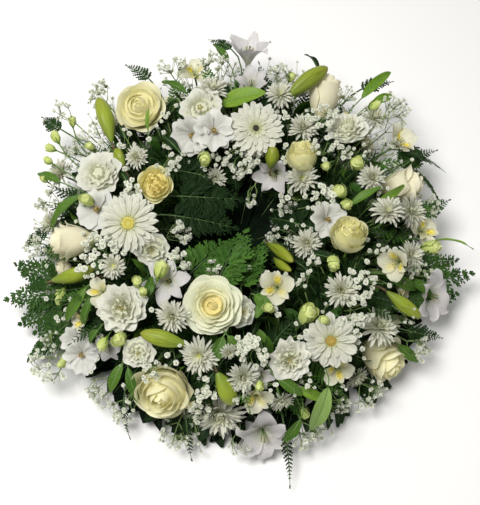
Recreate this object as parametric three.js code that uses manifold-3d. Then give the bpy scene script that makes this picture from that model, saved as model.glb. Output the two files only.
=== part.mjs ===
// Funeral wreath: a ring of floral foam in a shallow plastic tray, with cut
// flowers, buds, foliage and filler sprays pushed into the foam on their stems.
// Millimetres, +Z up. The tray stands on z = 0.
import * as THREE from 'three';
import Module from 'manifold-3d';

const wasm = await Module();
wasm.setup();

// ---------------------------------------------------------------- dimensions
const GAP = 0.35;            // clearance between neighbouring pieces
const SHIFT = [-7.242, 20.704, 0];   // the ring centre, seen from the middle of the whole wreath
const RING_STEPS = 28;       // facets round the ring
const TRAY = { outer: 205, inner: 115, wall: 2.6, floor: 3, height: 25 };
const FOAM = { inner: 119, outer: 201, bottom: 3.35, shoulder: 40, top: 65 };
const LOWEST = 0.6;          // flower heads stay just clear of the ground

// ---------------------------------------------------------------- materials
const PLASTIC = mat(0x16181a, 0.55);
const FOAM_GREEN = mat(0x2f5a2c, 0.95);
const STEM_GREEN = 0x55702f;
const PETAL = {
  rose: mat(0xf4edc4, 0.6), garden_rose: mat(0xf1e69a, 0.6), rose_side: mat(0xf3ead0, 0.6),
  gerbera: mat(0xf6f6ee, 0.6), mum: mat(0xf4f5ec, 0.6), lisianthus: mat(0xf5f6f0, 0.6),
  trumpet: mat(0xf2f2ea, 0.6), lily: mat(0xf3f2f3, 0.55), alstroemeria: mat(0xf5f3dc, 0.6),
  lily_bud: mat(0xb9c46a, 0.5), gypsophila: mat(0xf2f4ee, 0.8), fern: mat(0x2c5a31, 0.7),
  leaf: mat(0x4f8a3a, 0.5),
};
function mat(color, roughness) {
  return new THREE.MeshStandardMaterial({ color, roughness, metalness: 0 });
}

// Each bloom: `at` is the middle of its face, `face` the way it looks, `size`
// its radius. A bud, frond or leaf runs from `at` to `tip` instead. `stem` is
// the bend and the end of its stem, the end being inside the foam.
const PIECES = [
  { name: 'rose_1', kind: 'rose', at: [-139.8, 174.9, 123.9], face: [-0.220, -0.152, 0.964], size: 37.6, stem: [[-126.6, 184.0, 66.4], [-104.1, 139.7, 47.2]], stemR: 2.2 },
  { name: 'rose_2', kind: 'garden_rose', at: [-110.2, 42.6, 137.5], face: [0.050, -0.483, 0.874], size: 25.5, stem: [[-113.0, 69.7, 88.4], [-143.5, 68.5, 49.5]], stemR: 2.2 },
  { name: 'rose_3', kind: 'rose_side', at: [-233.4, -30.9, 111.9], face: [-0.800, -0.129, 0.586], size: 29.2, stem: [[-187.7, -23.5, 78.4], [-171.8, -22.2, 48.0]], stemR: 2.2 },
  { name: 'rose_4', kind: 'rose', at: [-29.8, -134.8, 149.8], face: [0.000, -0.347, 0.938], size: 40.0, stem: [[-29.8, -112.4, 89.0], [-37.2, -155.3, 49.9]], stemR: 2.2 },
  { name: 'rose_5', kind: 'rose', at: [-95.2, -235.0, 86.8], face: [-0.020, -0.774, 0.633], size: 36.3, stem: [[-94.0, -191.6, 51.3], [-71.5, -161.7, 43.4]], stemR: 2.2 },
  { name: 'rose_6', kind: 'rose_side', at: [132.4, 212.5, 110.6], face: [0.220, 0.625, 0.749], size: 30.2, stem: [[118.8, 174.0, 64.4], [95.5, 147.1, 45.9]], stemR: 2.2 },
  { name: 'rose_7', kind: 'garden_rose', at: [89.6, 89.0, 145.9], face: [-0.120, 0.142, 0.983], size: 25.0, stem: [[96.5, 80.8, 89.4], [116.7, 109.0, 49.9]], stemR: 2.2 },
  { name: 'rose_8', kind: 'rose_side', at: [248.7, 66.9, 89.4], face: [0.800, -0.109, 0.590], size: 27.9, stem: [[202.1, 73.3, 55.0], [168.8, 52.2, 43.7]], stemR: 2.2 },
  { name: 'rose_9', kind: 'garden_rose', at: [150.0, -32.2, 152.2], face: [-0.100, 0.008, 0.995], size: 27.8, stem: [[155.8, -32.7, 94.2], [160.1, -34.0, 50.9]], stemR: 2.2 },
  { name: 'rose_10', kind: 'rose_side', at: [206.3, -185.3, 52.5], face: [0.620, -0.247, 0.745], size: 31.3, stem: [[164.9, -168.8, 36.0], [129.0, -122.6, 36.8]], stemR: 2.2 },
  { name: 'gerbera_1', kind: 'gerbera', at: [-142.2, -20.8, 149.3], face: [-0.060, -0.279, 0.958], size: 40.0, stem: [[-139.2, -6.6, 100.5], [-160.9, -19.9, 50.7]], stemR: 2.2 },
  { name: 'gerbera_2', kind: 'gerbera', at: [120.9, -177.4, 133.6], face: [0.020, -0.356, 0.934], size: 35.9, stem: [[120.0, -160.4, 89.0], [97.7, -140.6, 49.4]], stemR: 2.2 },
  { name: 'gerbera_3', kind: 'gerbera', at: [28.1, 127.5, 142.4], face: [0.000, -0.261, 0.965], size: 39.7, stem: [[28.1, 140.3, 94.9], [33.8, 157.2, 50.3]], stemR: 2.2 },
  { name: 'mum_2', kind: 'mum', at: [-34.4, 192.7, 138.0], face: [0.100, 0.283, 0.954], size: 26.3, stem: [[-39.1, 179.5, 93.5], [-31.1, 166.0, 50.4]], stemR: 1.6 },
  { name: 'mum_3', kind: 'mum', at: [62.9, 186.3, 137.5], face: [0.050, 0.083, 0.995], size: 23.3, stem: [[60.6, 182.5, 91.9], [54.0, 160.4, 50.3]], stemR: 1.6 },
  { name: 'mum_6', kind: 'mum', at: [91.7, 59.2, 123.0], face: [0.100, -0.326, 0.940], size: 25.2, stem: [[87.1, 74.2, 79.9], [129.4, 89.5, 48.5]], stemR: 1.6 },
  { name: 'mum_8', kind: 'mum', at: [185.9, 50.9, 139.2], face: [0.200, -0.224, 0.954], size: 22.2, stem: [[176.8, 61.2, 95.5], [162.0, 46.6, 50.5]], stemR: 1.6 },
  { name: 'mum_9', kind: 'mum', at: [205.0, 2.8, 135.9], face: [-0.050, 0.140, 0.989], size: 25.4, stem: [[207.4, -3.8, 89.2], [170.5, 1.1, 49.8]], stemR: 1.6 },
  { name: 'mum_10', kind: 'mum', at: [245.9, 22.6, 93.4], face: [0.450, -0.089, 0.889], size: 26.6, stem: [[225.6, 26.6, 53.3], [175.4, 17.2, 44.6]], stemR: 1.6 },
  { name: 'mum_11', kind: 'mum', at: [96.0, -37.1, 119.6], face: [-0.050, -0.299, 0.953], size: 22.3, stem: [[98.2, -23.4, 75.9], [147.5, -52.4, 47.8]], stemR: 1.6 },
  { name: 'mum_13', kind: 'mum', at: [135.3, -113.0, 145.0], face: [0.050, -0.374, 0.926], size: 24.6, stem: [[132.9, -95.3, 101.0], [129.1, -104.6, 51.0]], stemR: 1.6 },
  { name: 'mum_14', kind: 'mum', at: [-80.4, -148.1, 145.7], face: [-0.100, -0.391, 0.915], size: 24.2, stem: [[-75.6, -129.5, 102.2], [-79.5, -144.5, 51.0]], stemR: 1.6 },
  { name: 'mum_15', kind: 'mum', at: [-45.6, -198.0, 137.8], face: [-0.300, -0.657, 0.692], size: 26.5, stem: [[-31.2, -166.4, 104.6], [-30.8, -166.2, 50.3]], stemR: 1.6 },
  { name: 'mum_17', kind: 'mum', at: [-20.5, -256.0, 61.6], face: [0.000, -0.998, 0.067], size: 29.4, stem: [[-20.5, -212.3, 58.7], [-14.9, -176.9, 41.6]], stemR: 1.6 },
  { name: 'mum_19', kind: 'mum', at: [188.4, -149.6, 102.5], face: [0.350, 0.109, 0.930], size: 29.5, stem: [[172.1, -154.7, 59.0], [135.7, -111.3, 45.6]], stemR: 1.6 },
  { name: 'lisianthus_1', kind: 'lisianthus', at: [-188.4, 57.7, 140.8], face: [-0.120, -0.076, 0.990], size: 32.8, stem: [[-181.5, 62.1, 83.9], [-161.5, 52.1, 50.1]], stemR: 1.6 },
  { name: 'lisianthus_2', kind: 'lisianthus', at: [-146.2, -136.0, 141.0], face: [-0.050, -0.260, 0.964], size: 32.3, stem: [[-143.4, -121.0, 85.5], [-126.6, -112.8, 50.2]], stemR: 1.6 },
  { name: 'lisianthus_3', kind: 'lisianthus', at: [68.4, -202.3, 134.6], face: [-0.020, -0.356, 0.934], size: 27.2, stem: [[69.5, -182.8, 83.4], [57.1, -161.4, 49.4]], stemR: 1.6 },
  { name: 'lisianthus_4', kind: 'lisianthus', at: [156.3, 134.6, 135.9], face: [-0.020, 0.281, 0.959], size: 30.2, stem: [[157.5, 118.9, 82.3], [132.4, 107.9, 49.6]], stemR: 1.6 },
  { name: 'white_trumpet_1', kind: 'trumpet', at: [-30.4, 121.5, 147.1], face: [0.030, -0.420, 0.907], size: 29.6, stem: [[-32.2, 146.2, 93.7], [-37.0, 156.5, 50.3]], stemR: 1.6 },
  { name: 'white_trumpet_2', kind: 'trumpet', at: [-64.5, 119.6, 133.9], face: [-0.220, -0.585, 0.781], size: 29.7, stem: [[-52.6, 151.2, 91.8], [-65.7, 148.0, 50.6]], stemR: 1.6 },
  { name: 'white_trumpet_3', kind: 'trumpet', at: [125.2, -8.5, 134.8], face: [0.150, -0.389, 0.909], size: 25.7, stem: [[117.0, 12.6, 85.4], [158.7, -0.7, 49.4]], stemR: 1.6 },
  { name: 'lily_1', kind: 'lily', at: [20.4, 271.3, 138.9], face: [0.100, 0.520, 0.848], size: 36.4, stem: [[12.7, 231.4, 73.8], [11.7, 174.7, 46.2]], stemR: 2.2 },
  { name: 'lily_2', kind: 'lily', at: [40.4, -269.8, 36.2], face: [0.100, -0.955, 0.281], size: 35.5, stem: [[34.2, -211.0, 36.0], [27.3, -175.8, 36.2]], stemR: 2.2 },
  { name: 'lily_3', kind: 'lily', at: [272.7, -104.5, 66.8], face: [0.600, -0.433, 0.672], size: 31.2, stem: [[231.4, -74.6, 36.0], [167.4, -60.4, 39.2]], stemR: 2.2 },
  { name: 'lily_4', kind: 'lily', at: [-90.4, -99.1, 136.6], face: [-0.050, -0.393, 0.918], size: 33.9, stem: [[-87.3, -74.9, 80.2], [-113.2, -110.9, 49.3]], stemR: 2.2 },
  { name: 'alstroemeria_1', kind: 'alstroemeria', at: [-62.6, 244.4, 112.5], face: [-0.050, 0.140, 0.989], size: 25.9, stem: [[-59.6, 236.0, 53.4], [-43.5, 170.6, 44.9]], stemR: 1.6 },
  { name: 'alstroemeria_2', kind: 'alstroemeria', at: [53.8, -105.9, 132.5], face: [-0.080, -0.373, 0.924], size: 26.1, stem: [[58.3, -84.7, 80.2], [77.9, -136.8, 48.6]], stemR: 1.6 },
  { name: 'alstroemeria_3', kind: 'alstroemeria', at: [267.9, -0.6, 79.7], face: [0.350, -0.207, 0.914], size: 24.6, stem: [[247.5, 11.5, 36.0], [177.6, 2.6, 41.0]], stemR: 1.6 },
  { name: 'alstroemeria_5', kind: 'alstroemeria', at: [132.4, -207.4, 98.1], face: [0.100, -0.634, 0.767], size: 23.7, stem: [[127.2, -174.8, 58.7], [97.9, -146.2, 45.0]], stemR: 1.6 },
  { name: 'lily_bud_1', kind: 'lily_bud', at: [-175.7, 116.1, 120.5], tip: [-197.7, 183.6, 134.0], size: 12.1, stem: [[-164.7, 82.7, 113.8], [-142.9, 94.4, 49.4]], stemR: 1.8 },
  { name: 'lily_bud_2', kind: 'lily_bud', at: [73.0, 183.7, 133.9], tip: [133.1, 230.5, 140.0], size: 12.8, stem: [[42.8, 160.1, 130.8], [62.5, 157.2, 50.3]], stemR: 1.8 },
  { name: 'lily_bud_3', kind: 'lily_bud', at: [-251.5, -80.7, 90.0], tip: [-188.7, -70.2, 112.0], size: 10.6, stem: [[-291.1, -87.4, 76.1], [-168.1, -54.0, 44.0]], stemR: 1.8 },
  { name: 'lily_bud_4', kind: 'lily_bud', at: [-60.1, -182.1, 131.6], tip: [-120.8, -168.3, 138.4], size: 11.4, stem: [[-23.2, -190.4, 127.5], [-71.0, -152.6, 50.1]], stemR: 1.8 },
  { name: 'lily_bud_5', kind: 'lily_bud', at: [-23.2, -215.5, 125.9], tip: [-4.5, -251.1, 96.4], size: 12.8, stem: [[-37.7, -187.8, 148.7], [-18.4, -170.6, 49.2]], stemR: 1.8 },
  { name: 'lily_bud_6', kind: 'lily_bud', at: [201.5, -98.6, 100.0], tip: [249.9, -130.2, 80.0], size: 9.9, stem: [[175.7, -81.8, 110.7], [156.3, -76.5, 47.4]], stemR: 1.8 },
  { name: 'fern_1', kind: 'fern', at: [-229.0, -86.7, 70.0], tip: [-321.0, -95.7, 58.0], size: 30.0, stem: [[-209.7, -84.8, 72.5], [-165.6, -62.7, 42.8]], stemR: 1.5 },
  { name: 'fern_2', kind: 'fern', at: [-232.6, -140.5, 58.0], tip: [-287.8, -176.9, 36.0], size: 24.0, stem: [[-213.0, -127.5, 65.8], [-152.2, -91.9, 40.4]], stemR: 1.5 },
  { name: 'fern_3', kind: 'fern', at: [234.6, -82.3, 66.0], tip: [335.5, -62.4, 60.0], size: 30.0, stem: [[213.5, -86.5, 67.3], [156.9, -80.0, 41.9]], stemR: 1.5 },
  { name: 'fern_4', kind: 'fern', at: [65.2, -276.4, 44.0], tip: [72.6, -343.6, 26.0], size: 15.0, stem: [[62.4, -250.3, 51.0], [40.9, -173.2, 38.7]], stemR: 1.5 },
  { name: 'fern_5', kind: 'fern', at: [254.0, 93.4, 88.0], tip: [312.0, 20.1, 92.0], size: 20.0, stem: [[237.5, 114.3, 86.9], [165.9, 61.0, 43.6]], stemR: 1.5 },
  { name: 'fern_6', kind: 'fern', at: [229.4, 92.4, 96.0], tip: [294.5, 131.9, 84.0], size: 18.0, stem: [[210.0, 80.7, 99.6], [162.9, 65.6, 45.5]], stemR: 1.5 },
  { name: 'leaf_1', kind: 'leaf', at: [96.8, -232.7, 112.0], tip: [115.2, -281.1, 72.0], size: 15.0, stem: [[89.5, -213.4, 127.9], [67.2, -161.5, 46.4]], stemR: 1.5 },
  { name: 'leaf_2', kind: 'leaf', at: [-20.1, 175.7, 128.0], tip: [39.7, 180.8, 146.0], size: 12.0, stem: [[-39.9, 174.0, 122.1], [-19.0, 165.6, 50.9]], stemR: 1.5 },
  { name: 'gypsophila_1', kind: 'gypsophila', at: [-219.4, 216.8, 88.0], face: [-0.688, 0.679, 0.256], size: 24.1, stem: [[-165.2, 163.2, 67.8], [-126.0, 124.5, 42.5]], stemR: 1.3 },
  { name: 'gypsophila_2', kind: 'gypsophila', at: [101.6, -282.6, 33.6], face: [0.336, -0.934, -0.120], size: 31.2, stem: [[77.2, -214.8, 42.4], [60.2, -167.5, 38.0]], stemR: 1.3 },
  { name: 'gypsophila_3', kind: 'gypsophila', at: [-174.4, -236.1, 41.6], face: [-0.593, -0.803, -0.065], size: 29.8, stem: [[-132.9, -179.9, 46.2], [-105.7, -143.2, 38.8]], stemR: 1.3 },
  { name: 'gypsophila_4', kind: 'gypsophila', at: [183.5, -229.4, 42.0], face: [0.623, -0.779, -0.062], size: 25.6, stem: [[139.8, -174.8, 46.4], [111.2, -139.0, 38.8]], stemR: 1.3 },
];

// Head sections as [radius, height] in head radii, from the back pole over the
// rim to the front pole. `wave` scales the radius with the angle, most at the rim.
const HEADS = {
  rose: { sides: 10, wave: [5, 0.07], depth: 0.75, rings: [[0.4, -0.68], [0.86, -0.18], [1, 0.12], [0.7, 0.08], [0.5, 0.24], [0.22, 0.14]], front: 0.28 },
  garden_rose: { sides: 10, wave: [5, 0.06], depth: 0.85, rings: [[0.5, -0.76], [0.98, -0.1], [0.98, 0.18], [0.7, 0.3], [0.4, 0.14]], front: 0.24 },
  rose_side: { sides: 10, wave: [5, 0.07], depth: 1.0, rings: [[0.4, -0.94], [0.84, -0.3], [0.98, 0.2], [0.7, 0.34], [0.4, 0.18]], front: 0.26 },
  gerbera: { sides: 24, wave: [12, 0.11], depth: 0.3, rings: [[0.2, -0.28], [1, 0.03], [0.32, 0.0], [0.26, 0.1]], front: 0.12 },
  mum: { sides: 16, wave: [8, 0.17], depth: 0.42, rings: [[0.3, -0.38], [1, 0.1], [0.32, 0.1]], front: 0.22 },
  lisianthus: { sides: 12, wave: [6, 0.12], depth: 0.8, rings: [[0.24, -0.76], [0.7, -0.28], [1, 0.14], [0.58, 0.12]], front: -0.08 },
  trumpet: { sides: 12, wave: [6, 0.14], depth: 0.8, rings: [[0.2, -0.72], [0.56, -0.22], [1, 0.1], [0.54, 0.02]], front: -0.36 },
  lily: { sides: 12, wave: [6, 0.26], depth: 0.9, rings: [[0.16, -0.86], [0.52, -0.24], [1, 0.04], [0.5, 0.0]], front: -0.4 },
  alstroemeria: { sides: 12, wave: [6, 0.2], depth: 0.85, rings: [[0.18, -0.8], [0.56, -0.22], [1, 0.05], [0.5, 0.02]], front: -0.32 },
};

const vec = (a) => new THREE.Vector3(...a);

// A closed mesh from rings of points with a pole at each end.
function skin(first, rings, last) {
  const pos = [...first.toArray()];
  const n = rings[0].length;
  for (const ring of rings) for (const p of ring) pos.push(p.x, p.y, p.z);
  pos.push(...last.toArray());
  const end = 1 + rings.length * n;
  const tri = [];
  for (let i = 0; i < n; i++) {
    const j = (i + 1) % n;
    tri.push(0, 1 + j, 1 + i);
    for (let k = 0; k + 1 < rings.length; k++) {
      const a = 1 + k * n, b = a + n;
      tri.push(a + i, a + j, b + j, a + i, b + j, b + i);
    }
    tri.push(end, end - n + i, end - n + j);
  }
  return { pos: Float32Array.from(pos), tri: Uint32Array.from(tri) };
}

// A ring-shaped closed mesh: one closed section carried round Z.
function hoop(section, steps) {
  const pos = [], tri = [], n = section.length;
  for (let s = 0; s < steps; s++) {
    const a = (2 * Math.PI * s) / steps;
    for (const [r, z] of section) pos.push(r * Math.cos(a), r * Math.sin(a), z);
  }
  for (let s = 0; s < steps; s++) {
    const a = s * n, b = ((s + 1) % steps) * n;
    for (let i = 0; i < n; i++) {
      const j = (i + 1) % n;
      tri.push(a + i, b + i, b + j, a + i, b + j, a + j);
    }
  }
  return { pos: Float32Array.from(pos), tri: Uint32Array.from(tri) };
}

// The same mesh with every point pushed out by d.
function swell({ pos, tri }, d) {
  const g = new THREE.BufferGeometry();
  g.setAttribute('position', new THREE.BufferAttribute(pos.slice(), 3));
  g.setIndex(new THREE.BufferAttribute(tri, 1));
  g.computeVertexNormals();
  const nrm = g.getAttribute('normal').array;
  return { pos: pos.map((v, i) => v + d * nrm[i]), tri };
}

// The same mesh grown away from its own middle, so its outermost points move by d.
function spread({ pos, tri }, d) {
  const c = [0, 0, 0], n = pos.length / 3;
  pos.forEach((v, i) => { c[i % 3] += v / n; });
  let far = 0;
  for (let i = 0; i < pos.length; i += 3) far = Math.max(far, Math.hypot(pos[i] - c[0], pos[i + 1] - c[1], pos[i + 2] - c[2]));
  return { pos: pos.map((v, i) => c[i % 3] + (v - c[i % 3]) * (1 + d / far)), tri };
}

function solid({ pos, tri }) {
  return new wasm.Manifold(new wasm.Mesh({ numProp: 3, vertProperties: pos, triVerts: tri }));
}

function turned(mesh, quat, at) {
  const p = new THREE.Vector3();
  const pos = mesh.pos.slice();
  for (let i = 0; i < pos.length; i += 3) {
    p.set(pos[i], pos[i + 1], pos[i + 2]).applyQuaternion(quat).add(at);
    p.toArray(pos, i);
  }
  return { pos, tri: mesh.tri };
}

// A round section carried along a curve, pointed at both ends.
function rod(points, radii, sides = 6) {
  const curve = points.length === 2 ? new THREE.LineCurve3(...points)
    : new THREE.QuadraticBezierCurve3(...points);
  const steps = radii.length - 1;
  const side = new THREE.Vector3(), up = new THREE.Vector3(), rings = [];
  side.set(0, 0, 1).cross(curve.getTangent(0.5)).normalize();
  if (side.lengthSq() < 0.5) side.set(1, 0, 0);
  for (let k = 0; k <= steps; k++) {
    const t = k / steps, c = curve.getPoint(t), tan = curve.getTangent(t);
    up.crossVectors(tan, side).normalize();
    const s2 = new THREE.Vector3().crossVectors(up, tan).normalize();
    const ring = [];
    for (let i = 0; i < sides; i++) {
      const a = (2 * Math.PI * i) / sides;
      ring.push(c.clone().addScaledVector(s2, radii[k] * Math.cos(a)).addScaledVector(up, radii[k] * Math.sin(a)));
    }
    rings.push(ring);
  }
  const t0 = curve.getTangent(0), t1 = curve.getTangent(1);
  return skin(curve.getPoint(0).addScaledVector(t0, -0.6 * radii[0]), rings,
    curve.getPoint(1).addScaledVector(t1, 0.6 * radii[steps]));
}

function headMesh(p) {
  const h = HEADS[p.kind], R = p.size, [lobes, depth] = h.wave;
  const rings = h.rings.map(([r, z]) => {
    const ring = [];
    for (let i = 0; i < h.sides; i++) {
      const a = (2 * Math.PI * i) / h.sides;
      const m = 1 + depth * r * r * (Math.cos(lobes * a) - 0.35);
      ring.push(new THREE.Vector3(R * r * m * Math.cos(a), R * r * m * Math.sin(a), R * z));
    }
    return ring;
  });
  const m = skin(new THREE.Vector3(0, 0, -h.depth * R), rings, new THREE.Vector3(0, 0, h.front * R));
  const q = new THREE.Quaternion().setFromUnitVectors(new THREE.Vector3(0, 0, 1), vec(p.face).normalize());
  return turned(m, q, vec(p.at));
}

// A closed bud: a spindle with three ridges, fattest before the middle.
function budMesh(p) {
  const a = vec(p.at), b = vec(p.tip), len = a.distanceTo(b);
  const rings = [[0.0, 0.22], [0.12, 0.55], [0.32, 0.92], [0.55, 1], [0.78, 0.78], [0.93, 0.4]].map(([t, r]) => {
    const ring = [];
    for (let i = 0; i < 6; i++) {
      const an = (Math.PI * i) / 3, m = i % 2 ? 0.86 : 1;
      ring.push(new THREE.Vector3(p.size * r * m * Math.cos(an), p.size * r * m * Math.sin(an), t * len));
    }
    return ring;
  });
  const m = skin(new THREE.Vector3(0, 0, -1.5), rings, new THREE.Vector3(0, 0, len));
  const q = new THREE.Quaternion().setFromUnitVectors(new THREE.Vector3(0, 0, 1), b.clone().sub(a).normalize());
  return turned(m, q, a);
}

// A flat blade along a gentle arch, from `at` to `tip`: toothed for a frond,
// smooth for a leaf. 1.6 mm thick at the midrib, thinner at its edges.
function bladeMesh(p) {
  const a = vec(p.at), b = vec(p.tip), len = a.distanceTo(b);
  const axis = b.clone().sub(a).normalize();
  const side = new THREE.Vector3(0, 0, 1).cross(axis).normalize();
  const up = new THREE.Vector3().crossVectors(axis, side);
  const fern = p.kind === 'fern', steps = fern ? 12 : 6, rings = [];
  for (let k = 0; k <= steps; k++) {
    const t = k / steps;
    let w = p.size * (fern ? Math.sin(Math.PI * (0.12 + 0.84 * t)) ** 0.8 * (1 - 0.45 * t) * 1.25 : Math.sin(Math.PI * (0.06 + 0.9 * t)) ** 0.8);
    let sweep = 0;
    if (fern) { if (k % 2) w *= 0.55; else sweep = 0.05 * len * (1 - t); }
    w = Math.max(w, 1.4);
    const c = a.clone().addScaledVector(axis, t * len).addScaledVector(up, len * 0.14 * Math.sin(Math.PI * t));
    const mid = 0.75;
    rings.push([
      c.clone().addScaledVector(side, w).addScaledVector(axis, sweep).addScaledVector(up, -0.06 * w),
      c.clone().addScaledVector(side, w * 0.4).addScaledVector(axis, sweep * 0.4).addScaledVector(up, mid),
      c.clone().addScaledVector(side, -w * 0.4).addScaledVector(axis, sweep * 0.4).addScaledVector(up, mid),
      c.clone().addScaledVector(side, -w).addScaledVector(axis, sweep).addScaledVector(up, -0.06 * w),
      c.clone().addScaledVector(side, -w * 0.4).addScaledVector(axis, sweep * 0.4).addScaledVector(up, -mid),
      c.clone().addScaledVector(side, w * 0.4).addScaledVector(axis, sweep * 0.4).addScaledVector(up, -mid),
    ]);
  }
  return skin(a.clone().addScaledVector(axis, -2), rings, b.clone().addScaledVector(axis, 2));
}

// A filler spray: a stem that forks, with a small round bloom cluster on each twig.
function sprayMeshes(p) {
  const c = vec(p.at), n = vec(p.face).normalize();
  const base = c.clone().addScaledVector(n, -34);
  const q = new THREE.Quaternion().setFromUnitVectors(new THREE.Vector3(0, 0, 1), n);
  const out = [];
  for (let i = 0; i < 6; i++) {
    const a = i * 2.4, r = p.size * Math.sqrt((i + 0.5) / 6) * 0.9;
    const end = new THREE.Vector3(r * Math.cos(a), r * Math.sin(a), (i % 3) * 5 - 6).applyQuaternion(q).add(c);
    end.z = Math.max(end.z, 12);
    out.push(rod([base, base.clone().lerp(end, 0.5).addScaledVector(n, 4), end], [1.3, 1.1], 4));
    const ball = new THREE.IcosahedronGeometry(6.6 + (i % 2), 0);
    const pos = [], tri = [], seen = new Map(), src = ball.getAttribute('position');
    for (let k = 0; k < src.count; k++) {
      const key = [src.getX(k), src.getY(k), src.getZ(k)].map((v) => v.toFixed(3)).join();
      if (!seen.has(key)) { seen.set(key, pos.length / 3); pos.push(src.getX(k) + end.x, src.getY(k) + end.y, src.getZ(k) + end.z); }
      tri.push(seen.get(key));
    }
    out.push({ pos: Float32Array.from(pos), tri: Uint32Array.from(tri) });
  }
  return out;
}

function stemMesh(p) {
  const start = stemStart(p), [bend, end] = p.stem.map(vec);
  const r = p.stemR;
  return rod([start, bend, end], [r, r, r, r, r * 0.8], 5);
}
function stemStart(p) {
  if (p.tip) return vec(p.at);
  const n = vec(p.face).normalize();
  if (p.kind === 'gypsophila') return vec(p.at).addScaledVector(n, -34);
  return vec(p.at).addScaledVector(n, -HEADS[p.kind].depth * p.size * 0.9);
}
function topMeshes(p) {
  if (p.kind === 'lily_bud') return [budMesh(p)];
  if (p.kind === 'fern' || p.kind === 'leaf') return [bladeMesh(p)];
  if (p.kind === 'gypsophila') return sprayMeshes(p);
  return [headMesh(p)];
}

function sum(list) { return list.reduce((a, b) => a.add(b)); }
function biggest(m) {
  const parts = m.decompose();
  return parts.reduce((a, b) => (b.volume() > a.volume() ? b : a));
}

// ---------------------------------------------------------------- tray, foam
const tray = hoop([
  [TRAY.inner, 0], [TRAY.outer, 0], [TRAY.outer, TRAY.height], [TRAY.outer - TRAY.wall, TRAY.height],
  [TRAY.outer - TRAY.wall, TRAY.floor], [TRAY.inner + TRAY.wall, TRAY.floor],
  [TRAY.inner + TRAY.wall, TRAY.height], [TRAY.inner, TRAY.height]], RING_STEPS);
const mid = (FOAM.inner + FOAM.outer) / 2, half = (FOAM.outer - FOAM.inner) / 2;
const foamSection = [[FOAM.inner, FOAM.bottom], [FOAM.outer, FOAM.bottom], [FOAM.outer, FOAM.shoulder]];
for (const a of [30, 65, 115, 150]) {
  const r = (a * Math.PI) / 180;
  foamSection.push([mid + half * Math.cos(r), FOAM.shoulder + (FOAM.top - FOAM.shoulder) * Math.sin(r)]);
}
foamSection.push([FOAM.inner, FOAM.shoulder]);

// ---------------------------------------------------------------- assembly
// Stems keep their whole length; a head is notched where a neighbour's stem or
// an earlier, more forward head passes it, with the clearance GAP all round.
const ORDER = ['rose', 'garden_rose', 'gerbera', 'rose_side', 'lily_bud', 'mum', 'lisianthus', 'trumpet', 'lily', 'alstroemeria', 'gypsophila', 'leaf', 'fern'];
const sorted = PIECES.map((p, i) => ({ p, i })).sort((a, b) => ORDER.indexOf(a.p.kind) - ORDER.indexOf(b.p.kind) || a.i - b.i).map((e) => e.p);
const box = (m) => m.boundingBox();
const meets = (a, b) => [0, 1, 2].every((k) => a.min[k] < b.max[k] + 1 && b.min[k] < a.max[k] + 1);

const parts = new Map();
const fatStems = sorted.map((p) => ({ p, m: solid(swell(stemMesh(p), GAP)) }));
fatStems.forEach((f) => { f.b = box(f.m); });
const fatHeads = [];
for (const p of sorted) {
  let head = sum(topMeshes(p).map(solid));
  let hb = box(head);
  for (const s of fatStems) if (s.p !== p && meets(hb, s.b)) head = head.subtract(s.m);
  for (const h of fatHeads) if (meets(hb, h.b)) head = head.subtract(h.m);
  let whole = solid(stemMesh(p));
  for (const h of fatHeads) if (meets(box(whole), h.b) && !h.clear.has(p.name)) whole = whole.subtract(h.m);
  whole = biggest(head.add(whole));
  const ground = solid(swell({ pos: Float32Array.from([-900, -900, -90, 900, -900, -90, 900, 900, -90, -900, 900, -90, -900, -900, LOWEST, 900, -900, LOWEST, 900, 900, LOWEST, -900, 900, LOWEST]), tri: Uint32Array.from([0, 2, 1, 0, 3, 2, 4, 5, 6, 4, 6, 7, 0, 1, 5, 0, 5, 4, 1, 2, 6, 1, 6, 5, 2, 3, 7, 2, 7, 6, 3, 0, 4, 3, 4, 7]) }, 0));
  if (whole.boundingBox().min[2] < LOWEST) whole = biggest(whole.subtract(ground));
  parts.set(p.name, { m: whole.simplify(0.04), material: PETAL[p.kind] });
  // later heads give way to this head; its own and other stems do not
  const about = topMeshes(p);
  const fat = sum(about.flatMap((t) => [solid(swell(t, GAP)), solid(spread(t, GAP)), solid(t)]));
  const fh = { m: fat, b: box(fat), clear: new Set(sorted.map((s) => s.name)) };
  fatHeads.push(fh);
}
let foam = solid(hoop(foamSection, RING_STEPS));
for (const s of fatStems) foam = foam.subtract(s.m);
parts.set('foam_ring', { m: biggest(foam).simplify(0.04), material: FOAM_GREEN });
parts.set('tray', { m: solid(tray), material: PLASTIC });

// ---------------------------------------------------------------- the group
const wreath = new THREE.Group();
wreath.name = 'funeral_wreath';
wreath.position.set(...SHIFT);
for (const name of ['tray', 'foam_ring', ...PIECES.map((p) => p.name)]) {
  const { m, material } = parts.get(name);
  const got = m.getMesh();
  const g = new THREE.BufferGeometry();
  g.setAttribute('position', new THREE.BufferAttribute(Float32Array.from(got.vertProperties), 3));
  g.setIndex(new THREE.BufferAttribute(Uint32Array.from(got.triVerts), 1));
  g.computeVertexNormals();
  const mesh = new THREE.Mesh(g, material);
  mesh.name = name;
  wreath.add(mesh);
}

export default wreath;
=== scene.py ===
# Funeral wreath: the visual model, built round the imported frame. Metres.
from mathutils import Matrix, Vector
import bpy
import math
import numpy as np

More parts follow.
